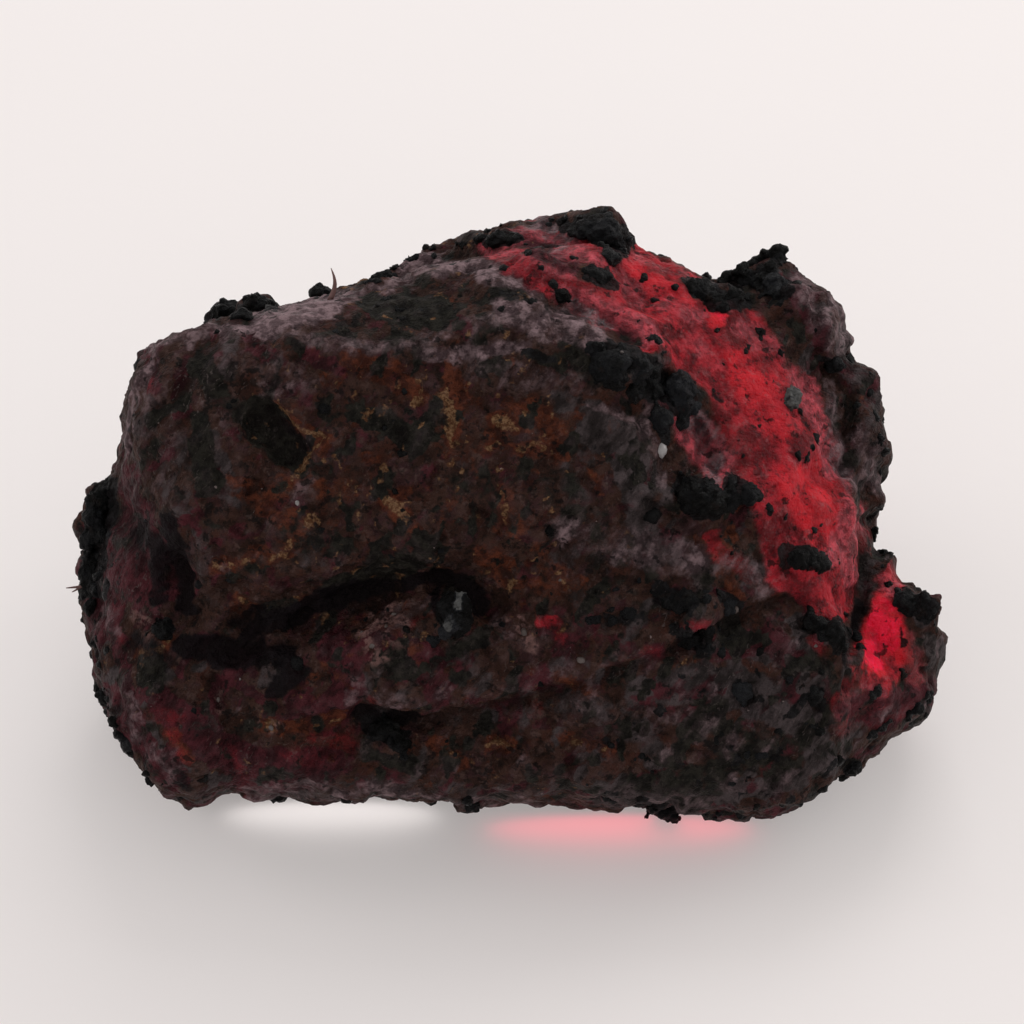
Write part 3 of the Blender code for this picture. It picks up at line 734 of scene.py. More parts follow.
def zones(co, n):
    """How much of each growth, and of the painted glow, highlight and shade, there is at each point of the skin."""
    local = to_local(co)
    xy = to_picture(local)
    to_eye = EYE - co
    to_eye /= np.linalg.norm(to_eye, axis=1, keepdims=True)
    turned = (n * to_eye).sum(axis=1)
    facing = smooth(-0.25, 0.05, turned)
    warp = np.stack([fbm(local * 0.9, 3, seed=3), fbm(local * 0.9, 3, seed=5)], axis=1) * 11
    warp += np.stack([fbm(local * 3.1, 2, seed=7), fbm(local * 3.1, 2, seed=9)], axis=1) * 6
    at = xy + warp

    # what the hidden sides show: the same growths, placed by noise
    def patch(scale, seed, low, high, most=1.0):
        return smooth(low, high, fbm(local * scale, 3, seed=seed)) * most

    end = smooth(3.0, 9.5, local[:, 0]) * 0.25
    window = smooth(0.02, 0.34, fbm(local * 0.22, 3, seed=21) + end - 0.12)
    hidden = {
        "red": window * smooth(0.10, 0.50, -turned),
        "painted_glow": window * smooth(0.20, 0.60, -turned) * patch(0.45, 22, 0.10, 0.35, 0.7),
        "haze": patch(0.50, 24, 0.05, 0.30, 0.8),
        "bloom_and_highlight": patch(0.36, 23, -0.02, 0.35, 0.80),
        "moss": patch(0.60, 31, 0.05, 0.25, 0.95),
        "shade": patch(0.55, 32, 0.22, 0.38, 0.80),
        "maroon": patch(0.30, 28, -0.08, 0.25, 0.95),
        "rust": patch(0.55, 33, 0.10, 0.32, 0.90),
        "ochre": patch(1.40, 34, 0.26, 0.38, 0.95),
        "grey": patch(0.34, 30, 0.0, 0.30, 0.95),
        "crust": patch(0.62, 25, 0.18, 0.32, 1.0),
        "pale": patch(0.80, 35, 0.34, 0.42, 0.8),
        "silk": patch(0.20, 36, -0.1, 0.2, 1.0),
    }
    zone = {}
    for name, strokes in LAYERS.items():
        zone[name] = painted(at, strokes) * facing + hidden[name] * (1 - facing)
    zone["bloom_and_highlight"] *= 1 - 0.75 * np.clip(painted(at, LAYERS["moss"]), 0, 1) * facing
    # rust spreads round the ochre
    halo = painted(at, [(points, half + 9, strength * 0.8) for points, half, strength in LAYERS["ochre"]])
    zone["rust"] = np.maximum(zone["rust"], halo * facing)

    # the growths also mingle all over in small drawn-out patches
    drawn = np.stack([local @ SILK_ALONG * 0.75, local @ SILK_ACROSS * 1.25, local[:, 2]], axis=1)
    left = 1 - smooth(170, 330, xy[:, 0])
    below = smooth(600, 680, xy[:, 1])
    right = smooth(540, 680, xy[:, 0])
    middle = (1 - left) * (1 - below) * (1 - right)
    for name, scale, seed, low, high, most in (
        ("moss", 1.15, 71, 0.06, 0.22, 0.70 - 0.25 * left + 0.15 * below * right),
        ("maroon", 0.95, 72, 0.02, 0.22, 0.42 + 0.40 * left + 0.15 * below),
        ("rust", 1.25, 73, 0.08, 0.28, 0.15 + 0.38 * middle + 0.30 * below * (1 - right) * (1 - left)),
        ("grey", 0.85, 74, 0.02, 0.24, 0.34 + 0.15 * left + 0.40 * right * (1 - 0.4 * below) + 0.25 * below),
        ("bloom_and_highlight", 1.30, 75, 0.12, 0.36, 0.24 + 0.02 * left + 0.18 * below + 0.14 * right),
        ("crust", 1.50, 76, 0.22, 0.34, 0.35 + 0.30 * below * right),
        ("ochre", 2.30, 77, 0.24, 0.36, 0.10 + 0.75 * middle + 0.35 * below * (1 - right)),
    ):
        mingled = smooth(low, high, fbm(drawn * scale, 3, 0.55, seed)) * most * (1 - 0.85 * zone["red"])
        zone[name] = np.maximum(zone[name], mingled)
    return zone, facing, turned, xy


def sculpt(obj):
    mesh = obj.data
    edges = edge_pairs(mesh)
    co = coordinates(mesh)
    on_base = co[:, 2] < 0.09
    # take away the CAD's facets, keeping the bulk (push back what smoothing shrinks)
    for _ in range(3):
        co = averaged(co, edges, 3, 0.55)
        co = averaged(co, edges, 3, -0.57)
    co = averaged(co, edges, 3, 0.5)
    set_coordinates(mesh, co)
    n = vertex_normals(mesh)
    zone, facing, turned, xy = zones(co, n)
    local = to_local(co)

    # broad lumps and broken planes
    lift = 0.17 * fbm(local * 0.62, 3, seed=41)
    f1, f2, _ = cells(local * 0.80 + fbm(local * 0.6, 2, seed=43)[:, None] * 0.5, seed=45)
    lift += 0.15 * (np.clip((f2 - f1) * 1.4, 0, 0.6) - 0.3)
    # knobbly growth, stronger on the crust
    rough = np.clip(1 - 0.55 * zone["silk"] - 0.35 * zone["moss"], 0.25, 1) * (1 - 0.55 * zone["red"])
    g1, g2, gid = cells(local * 1.7 + fbm(local * 1.3, 2, seed=47)[:, None] * 0.4, seed=49)
    knob = np.sqrt(np.clip(1 - (g1 / 0.75) ** 2, 0, 1))
    lift += (0.055 * rough + 0.14 * zone["crust"]) * (knob - 0.55) * (0.5 + gid)
    # worn pits, drawn out along the silk
    drawn = np.stack([local @ SILK_ALONG * 0.8, local @ SILK_ACROSS * 1.5, local[:, 2] * 1.1], axis=1)
    drawn += fbm(local * 1.1, 3, seed=52)[:, None] * 0.8
    pit = smooth(0.16, 0.46, fbm(drawn, 4, 0.6, seed=51))
    lift -= 0.11 * pit * rough
    for points, half, depth in PRESSED:
        lift -= depth * stroke(xy, points, half, 0.9) * facing
    for points, half, height in RAISED:
        lift += height * stroke(xy, points, half, 0.9) * facing
    rim = 1 - smooth(0.35, 0.75, np.abs(turned))
    for points, half, height in SWELLED:
        lift += height * stroke(xy, points, half, 0.8) * rim
    hold = smooth(0.0, 0.7, co[:, 2])
    co = co + n * (lift * hold)[:, None]
    set_coordinates(mesh, co)

    # fine texture on the new surface
    n = vertex_normals(mesh)
    local = to_local(co)
    grainy = ridged(local * 1.5, 4, seed=61) - 0.50
    tiny = fbm(local * 3.2, 3, seed=63)
    # silky folds run up to the right
    silk = fbm(np.stack([
        local @ SILK_ALONG * 0.42, local @ SILK_ACROSS * 2.1, local[:, 2] * 0.7,
    ], axis=1), 3, seed=65)
    lift = (0.075 * grainy + 0.065 * tiny) * rough + 0.115 * silk * (0.15 + zone["silk"])
    f1, f2, _ = cells(local * 3.1, seed=67)
    lift += 0.060 * (np.clip(1 - (f1 / 0.7) ** 2, 0, 1) - 0.4) * np.clip(0.25 * rough + zone["crust"] + 1.4 * zone["pale"], 0, 1.5)
    co = co + n * (lift * hold)[:, None]
    co[:, 2] = np.maximum(co[:, 2], 0.0)
    co[on_base, 2] = 0.0
    set_coordinates(mesh, co)

    # hollows and crests: how far a point lies under or over its surroundings, for the painted shade in hollows and
    # the painted highlight on crests
    wide = averaged(co, edges, 22, 0.6)
    n = vertex_normals(mesh)
    depth = ((wide - co) * n).sum(axis=1)
    zone["hollow_shade"] = np.clip(depth * 10, 0, 1)
    zone["crest_highlight"] = np.clip(-depth * 12, 0, 1)

    # thin the grid where the skin is smooth, then carry the growths over
    guide = KDTree(len(co))
    for i, p in enumerate(co):
        guide.insert(p, i)
    guide.balance()
    obj.modifiers.clear()
    thin = obj.modifiers.new("thin", "DECIMATE")
    thin.ratio = min(1.0, SKIN_TRIANGLES / (2.0 * len(mesh.polygons)))
    graph = bpy.context.evaluated_depsgraph_get()
    obj.data = bpy.data.meshes.new_from_object(obj.evaluated_get(graph))
    obj.modifiers.clear()
    bpy.data.meshes.remove(mesh)
    mesh = obj.data
    mesh.name = "ruby_skin"
    co = coordinates(mesh)
    nearest = np.array([guide.find(p)[1] for p in co])
    zone = {name: values[nearest] for name, values in zone.items()}
    facing = facing[nearest]
    n = vertex_normals(mesh)
    for name, values in zone.items():
        attribute(mesh, name, np.clip(values, 0, 1.3))
    set_coordinates(mesh, co * MM)
    mesh.shade_smooth()
    return co, n, zone, facing


# ------------------------------------------------------------------ grains
def ball(level):
    bm = bmesh.new()
    bmesh.ops.create_icosphere(bm, subdivisions=level, radius=1.0)
    verts = np.array([v.co[:] for v in bm.verts])
    faces = np.array([[v.index for v in f.verts] for f in bm.faces])
    bm.free()
    return verts, faces


BALLS = {k: ball(k) for k in (1, 2, 3)}


def grain_shape(rng, level, cut=5, stretch=0.25, rugged=0.16):
    """A unit grain: a rounded, uneven ball with a few worn flats."""
    verts, faces = BALLS[level]
    r = np.full(len(verts), 1.0)
    for _ in range(cut):
        way = rng.normal(size=3)
        way /= np.linalg.norm(way)
        facing = verts @ way
        r = np.minimum(r, np.where(facing > 0.05, rng.uniform(0.72, 0.96) / np.maximum(facing, 0.05), 9))
    shift = rng.uniform(0, 50, 3)
    r = r * (1 + rugged * perlin(verts * 1.6 + shift, 5) + 0.5 * rugged * perlin(verts * 3.7 + shift, 6))
    out = verts * r[:, None]
    out *= rng.uniform(1 - stretch, 1 + stretch, 3)
    return out, faces


def spun(rng, verts):
    q = rng.normal(size=4)
    q /= np.linalg.norm(q)
    a, b, c, d = q
    turn = np.array([
        [a * a + b * b - c * c - d * d, 2 * (b * c - a * d), 2 * (b * d + a * c)],
        [2 * (b * c + a * d), a * a - b * b + c * c - d * d, 2 * (c * d - a * b)],
        [2 * (b * d - a * c), 2 * (c * d + a * b), a * a - b * b - c * c + d * d],
    ])
    return verts @ turn.T


class Heap:
    """Collects grains and makes one mesh of them."""

    def __init__(self, ground=None):
        self.ground = ground
        self.verts, self.faces, self.centres, self.tones, self.count = [], [], [], [], 0

    def add(self, verts, faces, tone):
        self.verts.append(verts)
        self.faces.append(faces + self.count)
        self.centres.append(verts.mean(axis=0))
        self.tones.append(tone)
        self.count += len(verts)

    def drop_strays(self, mesh):
        """Takes away pieces that don't reach into the skin."""
        label = islands(len(mesh.vertices), edge_pairs(mesh))
        at = coordinates(mesh)
        gap = np.full(len(at), 9.0)
        for piece in np.unique(label):
            members = np.nonzero(label == piece)[0]
            for i in members[:: max(1, len(members) // 60)]:
                place, normal, _, far = self.ground.find_nearest(Vector(at[i]))
                inside = (Vector(at[i]) - place).dot(normal) < 0
                gap[members] = min(gap[members[0]], -far if inside else far)
        if (gap > -0.02).any():
            bm = bmesh.new()
            bm.from_mesh(mesh)
            bm.verts.ensure_lookup_table()
            bmesh.ops.delete(bm, geom=[bm.verts[i] for i in np.nonzero(gap > -0.02)[0]], context="VERTS")
            bm.to_mesh(mesh)
            bm.free()

    def make(self, name, material, grown=0.0):
        """One mesh. With grown, overlapping grains join at that grid size, mm."""
        co = np.vstack(self.verts)
        co[:, 2] = np.maximum(co[:, 2], 0.01)
        obj = new_object(name, co.tolist(), np.vstack(self.faces).tolist())
        if grown:
            remesh = obj.modifiers.new("join", "REMESH")
            remesh.mode = "VOXEL"
            remesh.voxel_size = grown
            graph = bpy.context.evaluated_depsgraph_get()
            old = obj.data
            obj.data = bpy.data.meshes.new_from_object(obj.evaluated_get(graph))
            obj.modifiers.clear()
            bpy.data.meshes.remove(old)
            obj.data.name = name
            self.drop_strays(obj.data)
            edges = edge_pairs(obj.data)
            co = averaged(coordinates(obj.data), edges, 1, 0.25)
            set_coordinates(obj.data, co)
            n = vertex_normals(obj.data)
            local = to_local(co)
            lift = 0.085 * fbm(local * 2.6, 3, 0.6, seed=81)
            f1, f2, _ = cells(local * 3.9, seed=83)
            lift += 0.085 * (np.clip((f2 - f1) * 1.7, 0, 0.7) - 0.35)
            lift += 0.040 * (ridged(local * 4.2, 2, seed=85) - 0.45)
            co = co + n * lift[:, None]
        tree = KDTree(len(self.centres))
        for i, p in enumerate(self.centres):
            tree.insert(p, i)
        tree.balance()
        tone = np.array([self.tones[tree.find(p)[1]] for p in co])
        attribute(obj.data, "tone", tone)
        set_coordinates(obj.data, co * MM)
        obj.data.shade_smooth()
        obj.data.materials.clear()
        obj.data.materials.append(material)
        return obj


def islands(count, edges):
    """The number of the connected piece that each vertex is in."""
    label = np.arange(count)
    while True:
        low = np.minimum(label[edges[:, 0]], label[edges[:, 1]])
        new = label.copy()
        np.minimum.at(new, edges[:, 0], low)
        np.minimum.at(new, edges[:, 1], low)
        new = new[new]
        if (new == label).all():
            return label
        label = new


def drop(tree, x, y, off=0.55):
    """Where a ray through that place of the picture meets the skin, or for one that passes
    beside it, a point that share of the way out from the nearest skin."""
    way = ray_through(x, y)
    place, normal, _, _ = tree.ray_cast(Vector(EYE), Vector(way))
    if place is None:
        p = HEART + AXES[0] * ((x - 512) * UNIT) + AXES[1] * ((512 - y) * UNIT)
        place, normal, _, _ = tree.find_nearest(Vector(p))
        near = np.array(place)
        # on the outline: as near as the picture places it
        return near + (p - near) * off if np.linalg.norm(near - p) < 1.2 else near, np.array(normal)
    return np.array(place), np.array(normal)


# Single lumps: place, half length and half width (units), turn (degrees, up to the
# right), how far out (share of half width), tone from dead black 0 to blue-grey 1, and above 1 pale grey for a
# painted highlight
LUMPS = [
    (226, 313, 16, 15, 10, 0.30, 0.15), (259, 305, 17, 12, -10, 0.35, 0.10), (242, 316, 12, 9, 0, 0.1, 0.2),
    (322, 293, 11, 11, 0, 0.3, 0.1), (382, 275, 12, 6, 30, 0.2, 0.1), (394, 268, 6, 5, 20, 0.3, 0.1),
    (495, 241, 12, 9, 10, 0.15, 0.2), (512, 239, 11, 8, 0, 0.15, 0.1), (478, 240, 6, 5, 0, 0.2, 0.2),
    (604, 234, 18, 17, 0, 0.20, 0.45), (582, 228, 12, 9, 0, 0.2, 0.3), (616, 246, 11, 12, 0, 0.15, 0.5),
    (608, 256, 10, 9, 0, 0.1, 0.3), (594, 224, 8, 6, 0, 0.4, 0.3), (612, 222, 6, 5, 0, 0.4, 0.3),
    (565, 295, 9, 9, 0, 0.1, 0.0), (602, 275, 14, 10, 30, 0.05, 0.25), (590, 270, 8, 7, 0, 0.0, 0.2),
    (604, 362, 15, 11, 0, -0.2, 0.3), (620, 378, 13, 12, 20, -0.1, 0.2), (642, 370, 13, 12, 0, 0.0, 0.35),
    (634, 394, 13, 10, 0, -0.1, 0.1), (654, 388, 11, 13, 0, 0.0, 0.2), (626, 362, 9, 8, 0, 0.0, 0.5),
    (682, 394, 18, 24, 6, 0.10, 0.80), (662, 424, 12, 17, 0, 0.0, 0.55), (682, 420, 10, 11, 0, 0.0, 0.5),
    (694, 497, 20, 18, 0, 0.10, 0.10), (713, 503, 14, 14, 0, 0.10, 0.05), (706, 486, 12, 9, 0, 0.05, 0.2),
    (731, 484, 9, 14, 0, 0.05, 0.2), (751, 494, 9, 14, 0, 0.05, 0.4), (738, 502, 9, 8, 0, 0.0, 0.2),
    (752, 262, 14, 6, 25, 0.5, 0.0), (766, 256, 14, 6, 28, 0.8, 0.0), (780, 250, 10, 6, 15, 1.0, 0.0),
    (742, 270, 10, 7, 40, 0.3, 0.1), (728, 276, 7, 6, 80, 0.4, 0.1), (722, 282, 7, 9, 0, 0.2, 0.1),
    (706, 276, 5, 7, 0, 0.4, 0.1), (700, 288, 10, 8, 0, 0.1, 0.2), (716, 298, 12, 9, 0, 0.1, 0.2),
    (690, 284, 8, 7, 0, 0.1, 0.1), (734, 294, 10, 8, 0, 0.1, 0.1), (776, 284, 13, 13, 0, 0.25, 0.75),
    (764, 280, 8, 9, 0, 0.3, 0.2),
    (833, 366, 10, 9, 0, 0.15, 0.25), (884, 452, 5, 9, 0, 0.3, 0.2),
    (106, 487, 10, 9, 0, 0.3, 0.1), (100, 500, 12, 12, 0, 0.3, 0.1), (92, 518, 11, 12, 0, 0.35, 0.3),
    (100, 534, 12, 11, 0, 0.2, 0.2), (87, 540, 9, 11, 0, 0.4, 0.35), (92, 560, 12, 12, 0, 0.3, 0.1),
    (85, 574, 8, 10, 0, 0.4, 0.2), (92, 590, 11, 12, 0, 0.25, 0.1), (90, 608, 8, 9, 0, 0.3, 0.1),
    (105, 697, 9, 9, 0, 0.4, 0.2), (98, 690, 5, 6, 0, 0.5, 0.1), (124, 738, 8, 8, 0, 0.3, 0.3),
    (132, 752, 7, 6, 0, 0.3, 0.2), (452, 614, 18, 23, -12, 0.15, 0.05),
    # painted highlight: pale-toned lumps (tone above 1) on the glossy black lump
    (460, 602, 4, 11, 0, 1.4, 1.3), (453, 622, 7, 6, 0, 2.2, 1.1), (445, 631, 6, 6, 0, 2.0, 0.95),
    (165, 630, 12, 10, 20, 0.05, 0.10), (382, 729, 17, 11, 10, 0.0, 0.05), (402, 743, 9, 8, 0, 0.0, 0.0),
    (472, 806, 9, 9, 0, 0.3, 0.2), (468, 800, 6, 8, 0, 0.2, 0.2), (664, 812, 12, 9, 0, 0.3, 0.2), (652, 808, 8, 7, 0, 0.3, 0.1),
    (674, 818, 8, 6, 0, 0.4, 0.1), (643, 820, 3, 7, 0, 0.6, 0.1),
    (668, 602, 13, 9, 30, 0.0, 0.15), (686, 598, 13, 12, 0, 0.05, 0.20), (692, 638, 15, 11, 20, 0.0, 0.10),
    (706, 632, 8, 8, 0, 0.0, 0.1), (728, 604, 10, 10, 0, 0.05, 0.65), (742, 692, 12, 12, 0, 0.0, 0.75),
    (814, 698, 8, 12, 0, 0.0, 0.20), (800, 557, 17, 14, 0, 0.05, 0.10), (819, 562, 15, 10, 0, 0.0, 0.05),
    (816, 624, 12, 9, 0, 0.05, 0.05), (832, 632, 12, 11, 0, 0.05, 0.05), (845, 648, 6, 9, 0, 0.0, 0.1),
    (908, 602, 14, 13, -20, -0.2, 0.45), (926, 612, 13, 14, 0, -0.2, 0.35), (914, 614, 12, 9, 0, -0.3, 0.3),
    (903, 674, 6, 8, 0, 0.0, 0.1), (888, 584, 5, 5, 0, 0.1, 0.1), (852, 768, 11, 9, 0, 0.25, 0.2),
    (880, 528, 4, 16, 0, 0.2, 0.1), (884, 552, 4, 12, 0, 0.2, 0.1), (872, 694, 6, 5, 0, 0.0, 0.2),
    (324, 407, 8, 8, 0, -0.2, 0.2), (792, 397, 11, 14, 0, 0.25, 1.2),
    (628, 614, 9, 7, 0, 0.0, 0.4), (612, 620, 6, 5, 0, 0.0, 0.3), (762, 756, 7, 6, 0, 0.0, 0.4),
    (434, 640, 8, 7, 0, 0.0, 0.6),
]
# Rows of small grains: path, half width, number, size in units, how far out
CLUSTERS = [
    ([(586, 219), (606, 218), (622, 230)], 3, 6, (4, 6), 0.2),
    ([(566, 220), (600, 238), (622, 258)], 12, 14, (5, 9), 0.3),
    ([(424, 250), (436, 246)], 3, 4, (3, 6), 0.7),
    ([(404, 258), (470, 244)], 5, 5, (3, 6), 0.0),
    ([(478, 236), (524, 240)], 6, 8, (4, 8), 0.2),
    ([(540, 218), (562, 220)], 3, 4, (3, 5), 0.3),
    ([(596, 358), (640, 380), (688, 412)], 20, 26, (4, 9), 0.0),
    ([(684, 486), (712, 508), (750, 500)], 14, 12, (4, 8), 0.0),
    ([(688, 284), (716, 300), (744, 300)], 10, 16, (4, 8), 0.2),
    ([(738, 284), (764, 272), (786, 254)], 6, 14, (4, 7), 0.3),
    ([(760, 288), (784, 298)], 9, 6, (4, 8), 0.0),
    ([(868, 392), (882, 440), (884, 470)], 5, 4, (3, 6), 0.1),
    ([(880, 500), (882, 570)], 3, 8, (3, 6), 0.0),
    ([(108, 482), (90, 530), (90, 604)], 9, 22, (5, 10), 0.3),
    ([(92, 610), (96, 660), (108, 720), (140, 770), (184, 800)], 4, 22, (3, 7), 0.2),
    ([(500, 806), (640, 812)], 3, 4, (3, 4), 0.0),
    ([(640, 812), (700, 816), (790, 806), (850, 776)], 4, 12, (3, 8), 0.15),
    ([(364, 282), (400, 266)], 4, 4, (4, 7), 0.2),
    ([(374, 722), (404, 748)], 14, 10, (4, 8), 0.0),
    ([(600, 620), (650, 610), (700, 592), (736, 606)], 11, 18, (4, 8), 0.0),
    ([(680, 632), (714, 644)], 10, 9, (4, 8), 0.0),
    ([(788, 556), (826, 564)], 10, 8, (4, 8), 0.05),
    ([(806, 620), (846, 640)], 12, 12, (4, 8), 0.05),
    ([(846, 610), (862, 650)], 5, 7, (4, 7), 0.1),
    ([(900, 594), (934, 614)], 11, 8, (4, 7), 0.0),
    ([(640, 770), (720, 750), (820, 730)], 34, 16, (3, 7), -0.2),
    ([(860, 740), (900, 720), (936, 690)], 4, 10, (4, 7), 0.25),
    ([(770, 640), (820, 710)], 26, 10, (4, 8), -0.1),
    ([(380, 420), (410, 446)], 14, 4, (4, 7), -0.3),
    ([(376, 306), (440, 308)], 12, 7, (4, 7), -0.2),
    ([(440, 596), (470, 630)], 14, 6, (3, 6), 0.0),
]
# Single black grains on the red band: place and half size in units
SPECKS = [
    (719, 330, 5), (714, 390, 8), (704, 310, 5), (657, 338, 8), (664, 350, 5), (761, 333, 6), (748, 348, 7),
    (759, 427, 5), (786, 472, 4), (815, 438, 8), (812, 446, 6), (807, 459, 8), (798, 454, 5),
    (769, 508, 5), (786, 518, 4), (821, 525, 5), (814, 530, 4), (736, 552, 7), (642, 280, 6), (656, 300, 5),
    (676, 288, 4), (700, 296, 5), (636, 304, 4), (742, 430, 4), (770, 470, 4), (838, 560, 4), (884, 644, 4),
    (890, 616, 4), (870, 600, 5), (858, 592, 5), (878, 690, 5), (640, 322, 6), (726, 366, 4), (772, 380, 4),
    (780, 352, 4), (800, 412, 4), (744, 456, 4), (540, 268, 5), (528, 252, 5), (552, 282, 5), (576, 258, 6),
]


def add_clusters(tree, heap):
    rng = np.random.default_rng(11)
    for x, y, long, wide, turn, proud, tone in LUMPS:
        place, normal = drop(tree, x, y)
        a = math.radians(turn)
        side = AXES[0] * math.cos(a) + AXES[1] * math.sin(a)
        side = side - normal * (side @ normal) * 0.7
        side /= np.linalg.norm(side)
        other = np.cross(normal, side)
        other /= np.linalg.norm(other)
        up = np.cross(side, other)
        verts, faces = grain_shape(rng, 3, cut=6, stretch=0.05, rugged=0.22)
        deep = min(long, wide) * 0.9
        body = (verts[:, :1] * side * long + verts[:, 1:2] * other * wide + verts[:, 2:] * up * deep) * UNIT
        centre = place + normal * deep * UNIT * (proud - 0.40)
        heap.add(body + centre, faces, tone)
        # knobs grown on the lump
        for _ in range(14 if max(long, wide) > 9 else 5 if max(long, wide) > 7 else 2):
            way = rng.normal(size=3)
            way /= np.linalg.norm(way)
            way = way if way[2] > -0.2 else way * [1, 1, -1]
            size = rng.uniform(0.20, 0.42)
            knob, knob_faces = grain_shape(rng, 2, cut=7, stretch=0.35, rugged=0.3)
            spot = side * long * way[0] * 0.84 + other * wide * way[1] * 0.84 + up * deep * way[2] * 0.84
            heap.add(knob * deep * size * UNIT + spot * UNIT + centre, knob_faces,
                     np.clip(tone + rng.uniform(-0.15, 0.15), 0, 1.3))
    for path, half, number, (small, large), proud in CLUSTERS:
        path = np.array(path, float)
        spans = np.linalg.norm(np.diff(path, axis=0), axis=1)
        ends = np.concatenate([[0], np.cumsum(spans)])
        for _ in range(number):
            t = rng.uniform(0, ends[-1])
            k = min(np.searchsorted(ends, t, side="right") - 1, len(spans) - 1)
            p = path[k] + (path[k + 1] - path[k]) * (t - ends[k]) / max(spans[k], 1e-6)
            a, r = rng.uniform(0, 2 * math.pi), half * math.sqrt(rng.uniform(0, 1))
            radius = rng.uniform(small, large) * UNIT
            place, normal = drop(tree, p[0] + r * math.cos(a), p[1] + r * math.sin(a), 0.15)
            verts, faces = grain_shape(rng, 2, cut=7, stretch=0.38, rugged=0.26)
            heap.add(spun(rng, verts) * radius + place + normal * radius * (proud - 0.55), faces, rng.uniform(0, 0.4))
    for x, y, size in SPECKS:
        place, normal = drop(tree, x, y)
        verts, faces = grain_shape(rng, 2, cut=7, stretch=0.4, rugged=0.3)
        radius = size * UNIT * 1.15
        heap.add(spun(rng, verts) * radius + place - normal * radius * 0.60, faces, rng.uniform(0, 0.4))


def add_hidden(co, n, zone, facing, heap, number=46):
    """Lumps on the sides away from the first view, where the crust is."""
    rng = np.random.default_rng(17)
    to_eye = EYE - co
    to_eye /= np.linalg.norm(to_eye, axis=1, keepdims=True)
    away = smooth(0.50, 0.65, -(n * to_eye).sum(axis=1))
    weight = np.clip(zone["crust"] - 0.2, 0, 1) * away * (co[:, 2] > 0.9)
    chosen = rng.choice(len(co), number, replace=False, p=weight / weight.sum())
    for i in chosen:
        big = rng.uniform(0.24, 0.50)
        tone = rng.uniform(0.0, 0.7)
        for k in range(6):
            way = rng.normal(size=3)
            way -= n[i] * (way @ n[i])
            radius = big * (1.0 if k == 0 else rng.uniform(0.35, 0.6))
            spot = co[i] + way * big * (0 if k == 0 else 0.62)
            verts, faces = grain_shape(rng, 3 if k == 0 else 2, rugged=0.2)
            heap.add(spun(rng, verts) * radius + spot - n[i] * radius * 0.35, faces,
                     np.clip(tone + rng.uniform(-0.1, 0.1), 0, 1))


def add_scatter(co, n, zone, facing, heap, number=620):
    """Small grains all round, most of them where the crust is."""
    rng = np.random.default_rng(29)
    weight = 0.035 + 1.2 * zone["crust"] + 0.10 * zone["rust"] + 0.08 * zone["moss"]
    weight = weight * (1 - 0.75 * zone["red"]) * (co[:, 2] > 0.5)
    weight = weight * np.where(facing > 0.5, 1.0, 1.3)
    chosen = rng.choice(len(co), number, replace=False, p=weight / weight.sum())
    for i in chosen:
        radius = rng.uniform(0.055, 0.15) * (1.0 + 0.8 * (rng.uniform() < 0.10))
        if facing[i] < 0.4:
            radius *= 1.5
        verts, faces = grain_shape(rng, 1 if radius < 0.13 else 2, cut=6, stretch=0.4, rugged=0.28)
        centre = co[i] - n[i] * radius * rng.uniform(0.40, 0.75)
        heap.add(spun(rng, verts) * radius + centre, faces, rng.uniform(0, 0.6))


